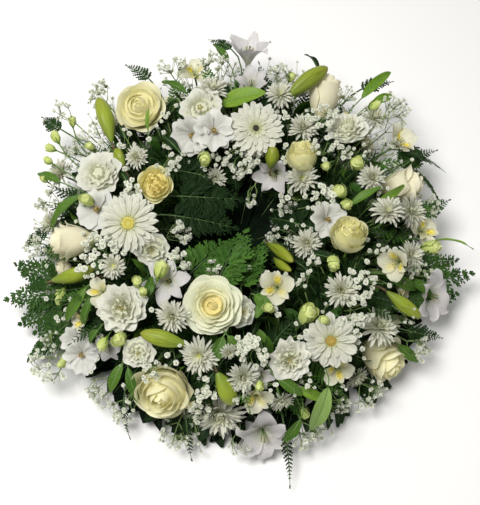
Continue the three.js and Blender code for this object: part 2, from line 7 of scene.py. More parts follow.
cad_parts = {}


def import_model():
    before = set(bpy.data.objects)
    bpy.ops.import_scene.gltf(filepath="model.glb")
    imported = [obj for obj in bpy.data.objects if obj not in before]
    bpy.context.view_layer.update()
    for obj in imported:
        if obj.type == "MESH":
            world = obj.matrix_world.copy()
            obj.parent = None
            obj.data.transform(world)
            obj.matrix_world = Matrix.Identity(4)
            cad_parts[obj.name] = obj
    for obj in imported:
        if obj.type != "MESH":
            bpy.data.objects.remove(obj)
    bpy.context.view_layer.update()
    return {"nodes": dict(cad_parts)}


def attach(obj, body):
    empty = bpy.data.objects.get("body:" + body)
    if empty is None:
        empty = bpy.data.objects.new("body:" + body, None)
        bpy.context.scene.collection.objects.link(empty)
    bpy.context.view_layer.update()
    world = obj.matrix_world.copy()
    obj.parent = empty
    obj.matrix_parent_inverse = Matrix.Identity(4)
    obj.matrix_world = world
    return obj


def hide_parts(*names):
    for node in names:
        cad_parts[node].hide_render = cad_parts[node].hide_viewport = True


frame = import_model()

TAU = 2 * math.pi
GOLD = math.pi * (3 - math.sqrt(5))


# ------------------------------------------------------------------ mesh code
class Shell:
    """Points and faces of one piece. Each point carries pt = (along, across,
    chance) and pz = (age, depth, tint), which the materials read."""

    def __init__(self):
        self.v, self.f4, self.f3, self.m4, self.m3, self.pt, self.pz = [], [], [], [], [], [], []
        self.n = 0

    def raw(self, V, F4=None, F3=None, mat=0, pt=None, pz=(0, 0, 0)):
        k = len(V)
        self.v.append(np.asarray(V, float))
        if F4 is not None and len(F4):
            self.f4.append(np.asarray(F4) + self.n)
            self.m4.append(np.full(len(F4), mat))
        if F3 is not None and len(F3):
            self.f3.append(np.asarray(F3) + self.n)
            self.m3.append(np.full(len(F3), mat))
        self.pt.append(np.zeros((k, 3)) if pt is None else np.broadcast_to(np.asarray(pt, float), (k, 3)))
        self.pz.append(np.broadcast_to(np.asarray(pz, float), (k, 3)))
        self.n += k

    def grid(self, P, mat=0, chance=0.0, pz=(0, 0, 0), closed=False, along=None, across=None):
        n, m = P.shape[:2]
        idx = np.arange(n * m).reshape(n, m)
        if closed:
            idx = np.concatenate([idx, idx[:, :1]], 1)
        F = np.stack([idx[:-1, :-1], idx[:-1, 1:], idx[1:, 1:], idx[1:, :-1]], -1).reshape(-1, 4)
        A = np.empty((n, m, 3))
        A[..., 0] = np.linspace(0, 1, n)[:, None] if along is None else along
        A[..., 1] = np.linspace(-1, 1, m)[None] if across is None else across
        A[..., 2] = chance
        self.raw(P.reshape(-1, 3), F, None, mat, A.reshape(-1, 3), pz)

    def add(self, other, M=None, at=(0, 0, 0), scale=1.0):
        """Another shell, turned by M, scaled and moved into this one."""
        V = np.concatenate(other.v) * scale
        if M is not None:
            V = V @ np.asarray(M).T
        V = V + np.asarray(at)
        self.v.append(V)
        self.pt.append(np.concatenate(other.pt))
        self.pz.append(np.concatenate(other.pz))
        for f in other.f4:
            self.f4.append(f + self.n)
        for f in other.f3:
            self.f3.append(f + self.n)
        self.m4 += other.m4
        self.m3 += other.m3
        self.n += len(V)

    def arrays(self):
        V = np.concatenate(self.v)
        F4 = np.concatenate(self.f4) if self.f4 else np.zeros((0, 4), int)
        F3 = np.concatenate(self.f3) if self.f3 else np.zeros((0, 3), int)
        m = np.concatenate([np.concatenate(self.m4) if self.m4 else np.zeros(0, int), np.concatenate(self.m3) if self.m3 else np.zeros(0, int)])
        return V, F4, F3, m, np.concatenate(self.pt), np.concatenate(self.pz)

    def tris(self):
        return 2 * sum(map(len, self.f4)) + sum(map(len, self.f3))


def build(name, shell, mats):
    V, F4, F3, m, pt, pz = shell.arrays()
    V[:, 2] = np.maximum(V[:, 2], 0.0)  # nothing reaches below the ground
    me = bpy.data.meshes.new(name)
    me.vertices.add(len(V))
    me.vertices.foreach_set("co", V.astype(np.float32).ravel())
    loops = np.concatenate([F4.ravel(), F3.ravel()]).astype(np.int32)
    me.loops.add(len(loops))
    me.loops.foreach_set("vertex_index", loops)
    starts = np.concatenate([np.arange(len(F4)) * 4, len(F4) * 4 + np.arange(len(F3)) * 3]).astype(np.int32)
    me.polygons.add(len(starts))
    me.polygons.foreach_set("loop_start", starts)
    me.polygons.foreach_set("material_index", m.astype(np.int32))
    me.polygons.foreach_set("use_smooth", np.ones(len(starts), bool))
    for key, data in (("pt", pt), ("pz", pz)):
        a = me.attributes.new(key, "FLOAT_VECTOR", "POINT")
        a.data.foreach_set("vector", data.astype(np.float32).ravel())
    me.update(calc_edges=True)
    for mat in mats:
        me.materials.append(mat)
    ob = bpy.data.objects.new(name, me)
    bpy.context.scene.collection.objects.link(ob)
    return ob


def spin(a):
    c, s = math.cos(a), math.sin(a)
    return np.array([[c, -s, 0], [s, c, 0], [0, 0, 1.0]])


def facing(n, roll=0.0):
    """A turn that takes +Z to n, with a roll about it."""
    n = np.asarray(n, float) / np.linalg.norm(n)
    x = np.cross([0, 1, 0], n)
    if np.linalg.norm(x) < 0.2:
        x = np.cross([1, 0, 0], n)
    x /= np.linalg.norm(x)
    y = np.cross(n, x)
    return np.stack([x, y, n], 1) @ spin(roll)


def tube(path, radii, sides=6, flat=None):
    """Rings of points round a path, for a stem or twig."""
    P = np.asarray(path, float)
    n = len(P)
    T = np.gradient(P, axis=0)
    T /= np.linalg.norm(T, axis=1)[:, None] + 1e-12
    ref = np.array([0.31, 0.57, 0.76]) if abs(T[0] @ np.array([0.31, 0.57, 0.76])) < 0.93 else np.array([1.0, 0, 0])
    X = np.cross(T, ref)
    X /= np.linalg.norm(X, axis=1)[:, None] + 1e-12
    Y = np.cross(T, X)
    a = np.arange(sides) * TAU / sides
    r = np.broadcast_to(np.asarray(radii, float), (n,))[:, None, None]
    return P[:, None] + r * (np.cos(a)[None, :, None] * X[:, None] + np.sin(a)[None, :, None] * Y[:, None])


def capped(shell, rings, mat, chance=0.0, pz=(0, 0, 0)):
    """A closed tube: rings with a point at each end."""
    c0, c1 = rings[0].mean(0), rings[-1].mean(0)
    n, m = rings.shape[:2]
    ends = np.concatenate([np.repeat(c0[None, None], m, 1), rings, np.repeat(c1[None, None], m, 1)], 0)
    shell.grid(ends, mat, chance, pz, closed=True)


def bez(B, C, S, k=10):
    t = np.linspace(0, 1, k)[:, None]
    B, C, S = map(lambda p: np.asarray(p, float), (B, C, S))
    return (1 - t) ** 2 * B + 2 * t * (1 - t) * C + t * t * S


def strip(nt, nu, length, width, rise, bend, cup=0.0, r0=0.0, z0=0.0, shape=None, groove=0.0, grooves=2, wave=0.0, waves=3, phase=0.0, twist=0.0, tipcurl=0.0, side=0.0):
    """One petal or leaf: leaves r0, z0 at the angle rise, bends by `bend` over
    its length, and its section cups by `cup`. x across, y outward, z up."""
    t = np.linspace(0, 1, nt)
    u = np.linspace(-1, 1, nu)
    th = rise + bend * t + tipcurl * t ** 4
    ds = length / (nt - 1)
    y = r0 + np.concatenate([[0], np.cumsum(np.cos((th[1:] + th[:-1]) / 2) * ds)])
    z = z0 + np.concatenate([[0], np.cumsum(np.sin((th[1:] + th[:-1]) / 2) * ds)])
    w = width / 2 * (shape(t) if shape else np.sin(np.pi * np.clip(0.08 + 0.9 * t, 0, 1)) ** 0.7)
    c = np.broadcast_to(np.asarray(cup, float), (nt,))[:, None]
    c = np.where(np.abs(c) > 1e-3, c, 1e-3)
    X = w[:, None] * np.sin(c * u[None]) / c
    lift = w[:, None] * (1 - np.cos(c * u[None])) / c
    if groove:
        lift = lift + groove * w[:, None] * np.cos(np.pi * grooves * u[None]) * np.sin(np.pi * np.clip(t, 0.05, 0.95))[:, None] ** 0.4
    if wave:
        lift = lift + wave * (t[:, None] ** 1.5) * np.abs(u[None]) ** 1.5 * np.sin(waves * np.pi * t[:, None] + phase + np.sign(u)[None] * 1.1)
    if twist:
        tw = twist * t[:, None]
        X, lift = X * np.cos(tw) - lift * np.sin(tw), X * np.sin(tw) + lift * np.cos(tw)
    P = np.empty((nt, nu, 3))
    P[..., 0] = X + side * (t ** 2)[:, None] * length
    P[..., 1] = y[:, None] - np.sin(th)[:, None] * lift
    P[..., 2] = z[:, None] + np.cos(th)[:, None] * lift
    return P


def bez4(p, T):
    T = np.asarray(T)[..., None]
    return (1 - T) ** 3 * p[0] + 3 * T * (1 - T) ** 2 * p[1] + 3 * T * T * (1 - T) * p[2] + T ** 3 * p[3]


def wrap(nt, nu, prof, phi, span, swirl=0.0, round_=0.35, lip=0.0, lipz=0.0, ruf=0.0, rufn=5, ph=0.0, droop=0.0, point=0.0, side=0.0):
    """A petal that wraps round the flower's axis. prof is four (radius, height)
    points; the outline is rounded, the lip rolls out and may be ruffled."""
    prof = np.asarray(prof, float)
    t = np.linspace(0, 1, nt) ** 0.85
    u = np.linspace(-1, 1, nu)
    tm = 1 - round_ * np.abs(u) ** 2.6
    T = t[:, None] * tm[None]
    rz = bez4(prof, T)
    r, z = rz[..., 0].copy(), rz[..., 1].copy()
    g = np.clip((T - 0.72) / 0.28, 0, 1) ** 1.7
    mid = 1 + point * np.cos(np.pi * u)[None]
    r += lip * g * mid
    z -= lipz * g * mid
    e = T ** 2.5
    r += ruf * e * np.sin(rufn * u[None] * 1.7 + ph) + swirl * u[None]
    z += ruf * 0.7 * e * np.cos(rufn * u[None] * 1.3 + ph * 1.7) - droop * np.abs(u[None]) ** 2 * T
    a = phi + span / 2 * u[None] * (0.75 + 0.25 * np.sin(np.pi * np.clip(T, 0, 1) * 0.5)) + side * T
    P = np.empty((nt, nu, 3))
    P[..., 0], P[..., 1], P[..., 2] = r * np.cos(a), r * np.sin(a), z
    return P, T


# ------------------------------------------------------------------ flowers
# Each is made with its face towards +Z, radius 1 and its face's middle at 0.
PETAL, EYE, GREEN = 0, 1, 2


def calyx(s, rng, r, z, n=5, length=0.5, rise=-0.6, width=0.16):
    for i in range(n):
        P = strip(6, 3, length * rng.uniform(0.85, 1.1), width, rise + rng.uniform(-0.2, 0.2), 0.5, cup=0.5, r0=r * 0.6, z0=z, shape=lambda t: (1 - t) ** 0.55)
        s.grid(P @ spin(TAU * i / n + rng.uniform(-0.1, 0.1)).T, GREEN, rng.random())


def rose(seed, openness=1.0, kind="open"):
    """kind open: wide with rolled petals round a coiled heart; shield: a large
    closed heart in loose outer petals; egg: a deep cup of ruffles; rosette: flat
    and crowded; goblet: tall, smooth and half shut, as seen from the side."""
    rng = np.random.default_rng(seed)
    s = Shell()
    turn = 1 if seed % 2 else -1
    rims, ph = [], rng.uniform(0, TAU)

    def ring(n, rt, zt, span, belly, lip=0.0, lipz=0.0, age=0.5, rnd=0.26, point=0.3, ruf=0.008, low=-0.8, wander=0.0, deep=0.36, nt=11, nu=15, jit=0.02):
        nonlocal ph
        ph += 1.1
        for i in range(n):
            r_ = rt * rng.uniform(0.96, 1.04)
            z_ = zt + rng.uniform(-jit, jit)
            prof = [(0.03 + 0.12 * r_, low), (belly * 0.78, low * 0.78), (belly, z_ - deep), (r_, z_)]
            P, T = wrap(nt, nu, prof, (ph + TAU * (i + rng.uniform(-0.13, 0.13)) / n) * turn, span * rng.uniform(0.92, 1.08), swirl=0.015 + 0.035 * r_, round_=rnd, lip=lip * rng.uniform(0.8, 1.2), lipz=lipz * rng.uniform(0.7, 1.3),
                        ruf=ruf, rufn=rng.uniform(2, 4), ph=rng.uniform(0, TAU), droop=0.05, point=point)
            if wander:
                P[..., :2] += rng.normal(0, wander, 2) * np.clip(T, 0, 1)[..., None]
            s.grid(P, PETAL, rng.random(), pz=(np.clip(age + rng.uniform(-0.03, 0.03), 0, 1), 0, rng.random()), along=T)
            rims.append((r_, z_))

    if kind == "open":
        ring(2, 0.04, 0.13, 3.6, 0.10, age=0.03, nt=8, nu=11, rnd=0.12)
        ring(3, 0.09, 0.14, 3.0, 0.15, age=0.06, nt=8, nu=11, rnd=0.14)
        ring(3, 0.15, 0.13, 2.9, 0.20, age=0.10, nt=8, nu=11, rnd=0.16)
        ring(4, 0.30, 0.22, 2.5, 0.35, 0.02, 0.0, age=0.40, rnd=0.16)
        ring(4, 0.40, 0.22, 2.3, 0.44, 0.04, 0.03, age=0.44, rnd=0.2)
        ring(5, 0.52, 0.18, 2.0, 0.52, 0.07, 0.05, age=0.50, rnd=0.24, ruf=0.014)
        ring(5, 0.64, 0.12, 1.95, 0.60, 0.09, 0.08, age=0.58, rnd=0.24, ruf=0.022)
        ring(6, 0.77, 0.03, 1.75, 0.68, 0.10, 0.09, age=0.72, rnd=0.24, ruf=0.030, point=0.2)
        ring(7, 0.90, -0.10, 1.60, 0.76, 0.10, 0.10, age=0.92, rnd=0.24, ruf=0.036, point=0.3)
    elif kind == "shield":
        ring(3, 0.03, 0.33, 3.2, 0.20, age=0.04, nt=8, nu=11, rnd=0.14)
        ring(3, 0.11, 0.33, 3.0, 0.34, age=0.12, nt=9, nu=13, rnd=0.24)
        ring(3, 0.22, 0.31, 2.9, 0.46, age=0.2, rnd=0.30, point=0.5)
        ring(3, 0.38, 0.27, 2.7, 0.56, 0.02, 0.0, age=0.34, rnd=0.34, point=0.6, deep=0.42)
        ring(3, 0.56, 0.22, 2.6, 0.66, 0.05, 0.03, age=0.48, rnd=0.36, point=0.7, ruf=0.014, deep=0.42)
        ring(4, 0.74, 0.15, 2.2, 0.78, 0.07, 0.05, age=0.62, rnd=0.30, point=0.8, ruf=0.018, deep=0.42)
        ring(5, 0.88, 0.02, 1.95, 0.88, 0.09, 0.08, age=0.82, rnd=0.30, point=0.8, ruf=0.022, deep=0.42)
    elif kind == "egg":
        for k, (n, r_) in enumerate(((4, 0.08), (6, 0.20), (7, 0.32), (8, 0.44), (8, 0.55))):
            ring(n, r_, 0.30 - 0.035 * k, 1.9 - 0.16 * k, r_ + 0.06, 0.04, 0.0, age=0.1 * k, rnd=0.3, ruf=0.05, wander=0.06, nt=8, nu=11, jit=0.06, low=-0.9)
        ring(5, 0.65, 0.11, 2.0, 0.76, 0.03, 0.01, age=0.5, rnd=0.24, ruf=0.024, low=-1.15)
        ring(4, 0.74, 0.05, 2.2, 0.86, 0.04, 0.02, age=0.65, rnd=0.28, ruf=0.022, low=-1.2, deep=0.5, point=0.5)
        ring(3, 0.83, -0.04, 2.4, 0.95, 0.06, 0.04, age=0.8, rnd=0.34, ruf=0.02, low=-1.25, deep=0.5, point=0.7)
        ring(3, 0.90, -0.20, 2.0, 0.99, 0.08, 0.07, age=0.95, rnd=0.4, ruf=0.02, low=-1.25, deep=0.46, point=0.8)
    elif kind == "rosette":
        for k, (n, r_) in enumerate(((4, 0.07), (6, 0.17), (8, 0.28), (9, 0.39), (10, 0.50), (9, 0.61))):
            ring(n, r_, 0.20 - 0.015 * k * k * 0.5, 1.7 - 0.18 * k, r_ + 0.06, 0.03, 0.0, age=0.09 * k, rnd=0.28, ruf=0.05, wander=0.075, nt=8, nu=11, jit=0.05)
        ring(5, 0.72, 0.10, 2.0, 0.80, 0.03, 0.02, age=0.6, rnd=0.26, ruf=0.018, point=0.5)
        ring(5, 0.84, 0.00, 1.9, 0.90, 0.06, 0.04, age=0.8, rnd=0.32, ruf=0.02, point=0.7)
        ring(4, 0.93, -0.14, 1.9, 0.94, 0.09, 0.08, age=1.0, rnd=0.36, ruf=0.02, point=0.9)
    else:
        o = openness
        ring(3, 0.05, 0.36, 3.2, 0.22, age=0.05, nt=8, nu=11, rnd=0.12, low=-1.0)
        ring(3, 0.15, 0.36, 3.0, 0.36, age=0.15, nt=9, nu=13, rnd=0.18, low=-1.0)
        ring(3, 0.28, 0.34, 2.8, 0.50, 0.02, 0.0, age=0.3, rnd=0.24, low=-1.05)
        ring(3, 0.42 + 0.06 * o, 0.32, 2.7, 0.62, 0.04, 0.02, age=0.5, rnd=0.28, point=0.5, low=-1.1, deep=0.5)
        ring(3, 0.56 + 0.10 * o, 0.28, 2.6, 0.76, 0.08, 0.05, age=0.65, rnd=0.32, point=0.8, ruf=0.014, low=-1.15, deep=0.6, nt=13, nu=17)
        ring(3, 0.68 + 0.14 * o, 0.18, 2.5, 0.86, 0.13, 0.10, age=0.8, rnd=0.36, point=0.9, ruf=0.02, low=-1.2, deep=0.6, nt=13, nu=17)
        ring(2, 0.78 + 0.16 * o, 0.02, 2.2, 0.92, 0.16, 0.16, age=0.95, rnd=0.40, point=0.9, ruf=0.02, low=-1.2, deep=0.55, nt=13, nu=17)
    # the petal feet, a dome just under the rims
    rims = np.array(sorted(rims))
    rr = np.array([0.004, 0.05, 0.11, 0.18, 0.26, 0.36, 0.48, 0.60, 0.72, 0.82]) * rims[:, 0].max()
    zz = np.interp(rr, rims[:, 0], rims[:, 1]) - np.array([0.07, 0.09, 0.12, 0.15, 0.18, 0.22, 0.25, 0.28, 0.32, 0.38])
    a = np.arange(20) * TAU / 20
    dome = np.stack([rr[:, None] * np.cos(a), rr[:, None] * np.sin(a), np.broadcast_to(zz[:, None], (10, 20))], -1)
    pz = np.zeros((10, 20, 3))
    # the inner feet take age 0.30, which rose_petal paints deep gold: painted shade in the crevice round the heart
    pz[..., 0] = np.where(rr < 0.46 * rims[:, 0].max(), 0.30, 0.5)[:, None]
    s.grid(dome, PETAL, 0.5, pz=pz.reshape(-1, 3), closed=True, along=0.3)
    foot = -1.22 if kind in ("egg", "goblet") else -0.82
    calyx(s, rng, 0.12, foot, length=0.6, rise=-0.35, width=0.17)
    hip = tube([(0, 0, foot - 0.18), (0, 0, foot - 0.10), (0, 0, foot), (0, 0, foot + 0.08)], [0.06, 0.13, 0.15, 0.08], 10)
    capped(s, hip, GREEN, 0.3)
    return s


def narrow(t, tip=0.55):
    return np.clip(0.45 + 1.3 * t, 0, 1) * np.clip((1 - t) / 0.22, 0.0, 1) ** tip * (0.9 + 0.1 * t)


def eye(s, rng, r, z, n, h, hollow=0.0, mat=EYE, size=0.05):
    """A disc of tiny florets in sunflower order."""
    for i in range(n):
        k = (i + 0.5) / n
        q = math.sqrt(k) * r
        a = i * GOLD
        zz = z + h * (1 - k) - hollow * math.exp(-(k / 0.2) ** 2)
        w = size * (0.75 + 0.5 * k)
        out = 0.5 * k
        c = np.array([q * math.cos(a), q * math.sin(a), zz])
        d = np.array([math.cos(a) * out, math.sin(a) * out, 1.0])
        tip = c + d * w * (1.1 + 0.5 * rng.random())
        ang = np.arange(4) * TAU / 4 + a
        low = c + np.stack([np.cos(ang), np.sin(ang), np.full(4, -0.5)], 1) * w * 0.62
        V = np.vstack([low, tip])
        s.raw(V, None, [(0, 1, 4), (1, 2, 4), (2, 3, 4), (3, 0, 4)], mat, np.array([[0, 0, k]] * 4 + [[1, 0, k]]), (k, 0, rng.random()))
    base = np.array([[[rr * math.cos(a), rr * math.sin(a), z + h * (1 - (rr / r) ** 2) - size * 0.4 - hollow * math.exp(-((rr / r) ** 2 / 0.2) ** 2)] for a in np.arange(14) * TAU / 14] for rr in (0.001, r * 0.35, r * 0.7, r)])
    s.grid(base, mat, 0.5, (0.5, 0.3, 0.5), closed=True, along=0.0)


def mum(seed, rows=6, centre=0.17, shut=0.0, reflex=0.0):
    """A spray chrysanthemum: rows of narrow petals, the inner ones curling in
    over a small green-gold eye."""
    rng = np.random.default_rng(seed)
    s = Shell()
    base = [(18, 1.0, 0.02), (18, 0.96, 0.20), (17, 0.88, 0.38), (16, 0.78, 0.58), (15, 0.66, 0.80), (13, 0.54, 1.02), (10, 0.44, 1.24)]
    for j in range(min(rows, 7)):
        n, L, rise = base[j]
        for i in range(n):
            ln = (L - centre * 0.4) * rng.uniform(0.80, 1.08)
            inner = j / 6
            bend = (-0.25 + rng.uniform(-0.30, 0.35) - reflex * 0.6) * (1 - inner) + 0.75 * inner * rng.uniform(0.6, 1.4)
            P = strip(7, 5 if j < 3 else 3, ln * 1.03, rng.uniform(0.155, 0.225) * (1 - 0.2 * inner), rise + shut + rng.uniform(-0.13, 0.15) - (reflex if j < 3 else reflex * 0.4), bend,
                      cup=rng.uniform(0.7, 1.25), r0=centre * (0.55 - 0.3 * inner), z0=-0.09 + 0.01 * j, shape=lambda t: narrow(t, 0.38), tipcurl=rng.uniform(-0.4, 0.8) if rng.random() < 0.6 else 0.0, side=rng.uniform(-0.10, 0.10))
            s.grid(P @ spin(TAU * (i + 0.5 * (j % 2)) / n + rng.uniform(-0.12, 0.12)).T, PETAL, rng.random(), pz=(1 - j / 7, 0, rng.random()))
    eye(s, rng, centre, -0.06, 30, 0.08, mat=EYE, size=0.045)
    cup = np.array([[[r * math.cos(a), r * math.sin(a), z] for a in np.arange(10) * TAU / 10] for r, z in ((0.05, -0.42), (0.17, -0.34), (0.25, -0.2), (0.20, -0.06))])
    s.grid(cup, GREEN, 0.5, closed=True)
    return s


def gerbera(seed, style=0):
    """style 0: many petals and a gold eye; 1: fewer, broader petals; 2: a small
    dark eye inside a dense ruff."""
    rng = np.random.default_rng(seed)
    s = Shell()
    disc = (0.20, 0.17, 0.11)[style]
    rows = [[(22, 1.0, 0.02, 0.205, 0.0), (20, 0.95, 0.14, 0.195, 0.03), (15, 0.72, 0.28, 0.14, 0.05)],
            [(13, 1.0, 0.02, 0.33, 0.0), (12, 0.94, 0.16, 0.31, 0.03), (9, 0.62, 0.34, 0.2, 0.06)],
            [(20, 1.0, 0.04, 0.24, 0.0), (20, 0.90, 0.14, 0.21, 0.03), (18, 0.70, 0.28, 0.16, 0.05), (20, 0.42, 0.5, 0.09, 0.06)]][style]
    for j, (n, L, rise, w, z0) in enumerate(rows):
        for i in range(n):
            P = strip(11, 7, (L - 0.12) * rng.uniform(0.93, 1.04), w * rng.uniform(0.88, 1.12), rise + 0.18 + rng.uniform(-0.08, 0.09), -0.38 + rng.uniform(-0.16, 0.14),
                      cup=-0.35 + rng.uniform(-0.3, 0.4), r0=0.12, z0=z0 - 0.1, shape=lambda t: np.clip(0.32 + 1.15 * t, 0, 1) * np.clip((1 - t) / 0.18, 0, 1) ** 0.5,
                      groove=0.20, grooves=2, tipcurl=rng.uniform(-0.35, 0.3), side=rng.uniform(-0.06, 0.06), twist=rng.uniform(-0.25, 0.25))
            s.grid(P @ spin(TAU * (i + 0.37 * j) / n + rng.uniform(-0.05, 0.05)).T, PETAL, rng.random(), pz=(1 - j / 5, 0, rng.random()))
    # the short inner florets that ring the disc, then the disc
    for j, (n, L, rise) in enumerate(((32, 0.13, 0.7), (28, 0.09, 1.0))):
        for i in range(n):
            P = strip(4, 3, L * rng.uniform(0.8, 1.2), 0.045, rise + rng.uniform(-0.2, 0.2), 0.2, cup=0.5, r0=disc * 0.98 - 0.02 * j, z0=-0.02, shape=lambda t: (1 - 0.75 * t))
            s.grid(P @ spin(TAU * (i + 0.5 * j) / n).T, PETAL if j == 0 or style == 2 else EYE, rng.random(), pz=(0.1, 0.6, rng.random()))
    eye(s, rng, disc, 0.0, 110, 0.05, hollow=0.045, mat=EYE, size=0.13 * disc)
    cup = np.array([[[r * math.cos(a), r * math.sin(a), z] for a in np.arange(14) * TAU / 14] for r, z in ((0.05, -0.34), (0.17, -0.3), (0.25, -0.2), (0.20, -0.08))])
    s.grid(cup, GREEN, 0.5, closed=True)
    return s


def lisianthus(seed, layers=(4, 5, 6, 7), ruffle=1.0, opened=1.0, heart=True):
    """A ruffled double head, like a loose, open rose."""
    rng = np.random.default_rng(seed)
    s = Shell()
    tot = len(layers)
    for j, n in enumerate(layers):
        k = (j + 0.5) / tot
        for i in range(n):
            phi = TAU * (i + 0.5 * j) / n + rng.uniform(-0.3, 0.3)
            rt = (0.16 + 0.80 * k) * rng.uniform(0.88, 1.06) * (0.72 + 0.28 * opened)
            zt = (0.30 - 0.34 * k * opened + rng.uniform(-0.10, 0.10)) + 0.12 * (1 - opened)
            prof = [(0.04, -0.8), (0.14 + 0.30 * k, -0.62), (0.18 + 0.52 * k, zt - 0.32), (rt, zt)]
            P, T = wrap(10, 21, prof, phi, (2.6 - 0.8 * k) * rng.uniform(0.85, 1.15), swirl=0.07 * rng.uniform(-1, 1), round_=0.20, lip=0.04 + 0.10 * k, lipz=0.02 + 0.13 * k * opened,
                        ruf=(0.030 + 0.040 * rng.random()) * ruffle, rufn=rng.uniform(3.5, 8.5), ph=rng.uniform(0, TAU), droop=0.02, point=0.1)
            # a finer frill along the rim
            e = np.clip((T - 0.7) / 0.3, 0, 1) ** 2
            u = np.linspace(-1, 1, 21)[None]
            P[..., 2] += 0.020 * ruffle * e * np.sin(rng.uniform(12, 22) * u + rng.uniform(0, TAU)) * (0.6 + 0.8 * np.sin(2.3 * u + rng.uniform(0, TAU)) ** 2)
            s.grid(P, PETAL, rng.random(), pz=(k, 0.2, rng.random()), along=T)
    rr = np.array([0.004, 0.12, 0.24, 0.38, 0.52, 0.66, 0.80])
    zz = 0.30 - 0.34 * opened * rr - np.array([0.40, 0.32, 0.30, 0.30, 0.30, 0.32, 0.36]) + 0.12 * (1 - opened)
    a = np.arange(18) * TAU / 18
    s.grid(np.stack([rr[:, None] * np.cos(a), rr[:, None] * np.sin(a), np.broadcast_to(zz[:, None], (7, 18))], -1) * (1, 1, 1), PETAL, 0.5, pz=(0.25, 0, 0.5), closed=True, along=0.35)
    for i in range(9 if heart else 0):
        a = i * GOLD
        q = 0.04 + 0.012 * i
        p0 = np.array([0.02 * math.cos(a), 0.02 * math.sin(a), -0.5])
        p1 = np.array([q * math.cos(a), q * math.sin(a), 0.02 + 0.08 * rng.random()])
        capped(s, tube([p0, p1 - (0, 0, 0.09), p1 - (0, 0, 0.05), p1], [0.012, 0.016, 0.036, 0.02], 6), EYE, rng.random(), pz=(0.2, 1, rng.random()))
    calyx(s, rng, 0.1, -0.82, length=0.62, rise=0.5, width=0.09)
    capped(s, tube([(0, 0, -0.95), (0, 0, -0.88), (0, 0, -0.78)], [0.05, 0.09, 0.06], 8), GREEN, 0.4)
    return s


def trumpet(seed, ruffle=0.5, n=6):
    """A single open bloom of broad overlapping petals round a brown-gold eye."""
    rng = np.random.default_rng(seed)
    s = Shell()
    for i in range(n):
        phi = TAU * i / n + rng.uniform(-0.15, 0.15)
        rt = rng.uniform(0.84, 1.0)
        inner = i % 2
        zt = 0.14 - 0.10 * inner + rng.uniform(-0.05, 0.07)
        prof = [(0.03, -0.62), (0.14, -0.42), (0.46 - 0.06 * inner, -0.22), (rt, zt)]
        P, T = wrap(13, 17, prof, phi, 1.85 + 0.12 * inner, swirl=0.03, round_=0.17, lip=0.02, lipz=0.10 + 0.07 * rng.random(), ruf=0.055 * ruffle * 2, rufn=rng.uniform(4.2, 6.5), ph=rng.uniform(0, TAU), droop=-0.05, point=0.2)
        P[..., 2] -= 0.03 * inner
        s.grid(P, PETAL, rng.random(), pz=(0.75, 1.0, rng.random()), along=T)
    for i in range(8):
        a = TAU * i / 8 + rng.uniform(-0.2, 0.2)
        q = 0.10 * rng.uniform(0.7, 1.3)
        p1 = np.array([q * math.cos(a), q * math.sin(a), -0.14 + 0.08 * rng.random()])
        p0 = np.array([0.02 * math.cos(a), 0.02 * math.sin(a), -0.5])
        capped(s, tube([p0, p1 * (0.6, 0.6, 1.0) - (0, 0, 0.08), p1 - (0, 0, 0.03), p1 + (0, 0, 0.02)], [0.014, 0.016, 0.042, 0.03], 6), EYE, rng.random(), pz=(0.4, 1, rng.random()))
    capped(s, tube([(0, 0, -0.5), (0, 0, -0.18), (0, 0, -0.08), (0, 0, -0.04)], [0.02, 0.03, 0.055, 0.03], 8), EYE, rng.random(), pz=(0.9, 1, 0.2))
    calyx(s, rng, 0.08, -0.66, length=0.4, rise=0.4, width=0.09)
    capped(s, tube([(0, 0, -0.8), (0, 0, -0.7), (0, 0, -0.58)], [0.05, 0.08, 0.05], 8), GREEN, 0.4)
    return s


def lily(seed, spread=0.25, recurve=-1.1, wide=0.42, n=6, cupped=0.0):
    """Six long tepals from a funnel, curling back at their tips."""
    rng = np.random.default_rng(seed)
    s = Shell()
    for i in range(n):
        outer = i % 2
        P = strip(16, 9, 1.25 * rng.uniform(0.93, 1.05), wide * (0.84 if outer else 1.12), 1.20 - spread + rng.uniform(-0.12, 0.12), recurve * (1 - 0.4 * cupped) + rng.uniform(-0.25, 0.25), cup=np.linspace(1.0, 0.35, 16),
                  r0=0.06, z0=-0.80, shape=lambda t: np.clip(0.25 + 1.35 * t, 0, 1) * np.clip((1 - t) / 0.42, 0, 1) ** 0.6, groove=0.06, grooves=1, wave=0.08, waves=3.2, phase=rng.uniform(0, TAU), tipcurl=rng.uniform(-0.7, 0.1), twist=rng.uniform(-0.25, 0.25), side=rng.uniform(-0.08, 0.08))
        s.grid(P @ spin(TAU * i / n + rng.uniform(-0.1, 0.1)).T, PETAL, rng.random(), pz=(0.6, 0.5, rng.random()))
    for i in range(6):
        a = TAU * (i + 0.5) / 6
        q = 0.13
        p = [(0.02 * math.cos(a), 0.02 * math.sin(a), -0.75), (0.05 * math.cos(a), 0.05 * math.sin(a), -0.45), (q * math.cos(a), q * math.sin(a), -0.16)]
        capped(s, tube(bez(*p, 7), 0.011, 5), GREEN, 0.7)
        capped(s, tube([(q * math.cos(a) - 0.045 * math.sin(a), q * math.sin(a) + 0.045 * math.cos(a), -0.17), (q * math.cos(a), q * math.sin(a), -0.15), (q * math.cos(a) + 0.045 * math.sin(a), q * math.sin(a) - 0.045 * math.cos(a), -0.17)], [0.010, 0.020, 0.010], 6), EYE, rng.random(), pz=(0.2, 1, 0.5))
    capped(s, tube([(0, 0, -0.78), (0, 0, -0.4), (0, 0, -0.12), (0, 0, -0.08)], [0.02, 0.018, 0.02, 0.032], 6), GREEN, 0.7)
    return s


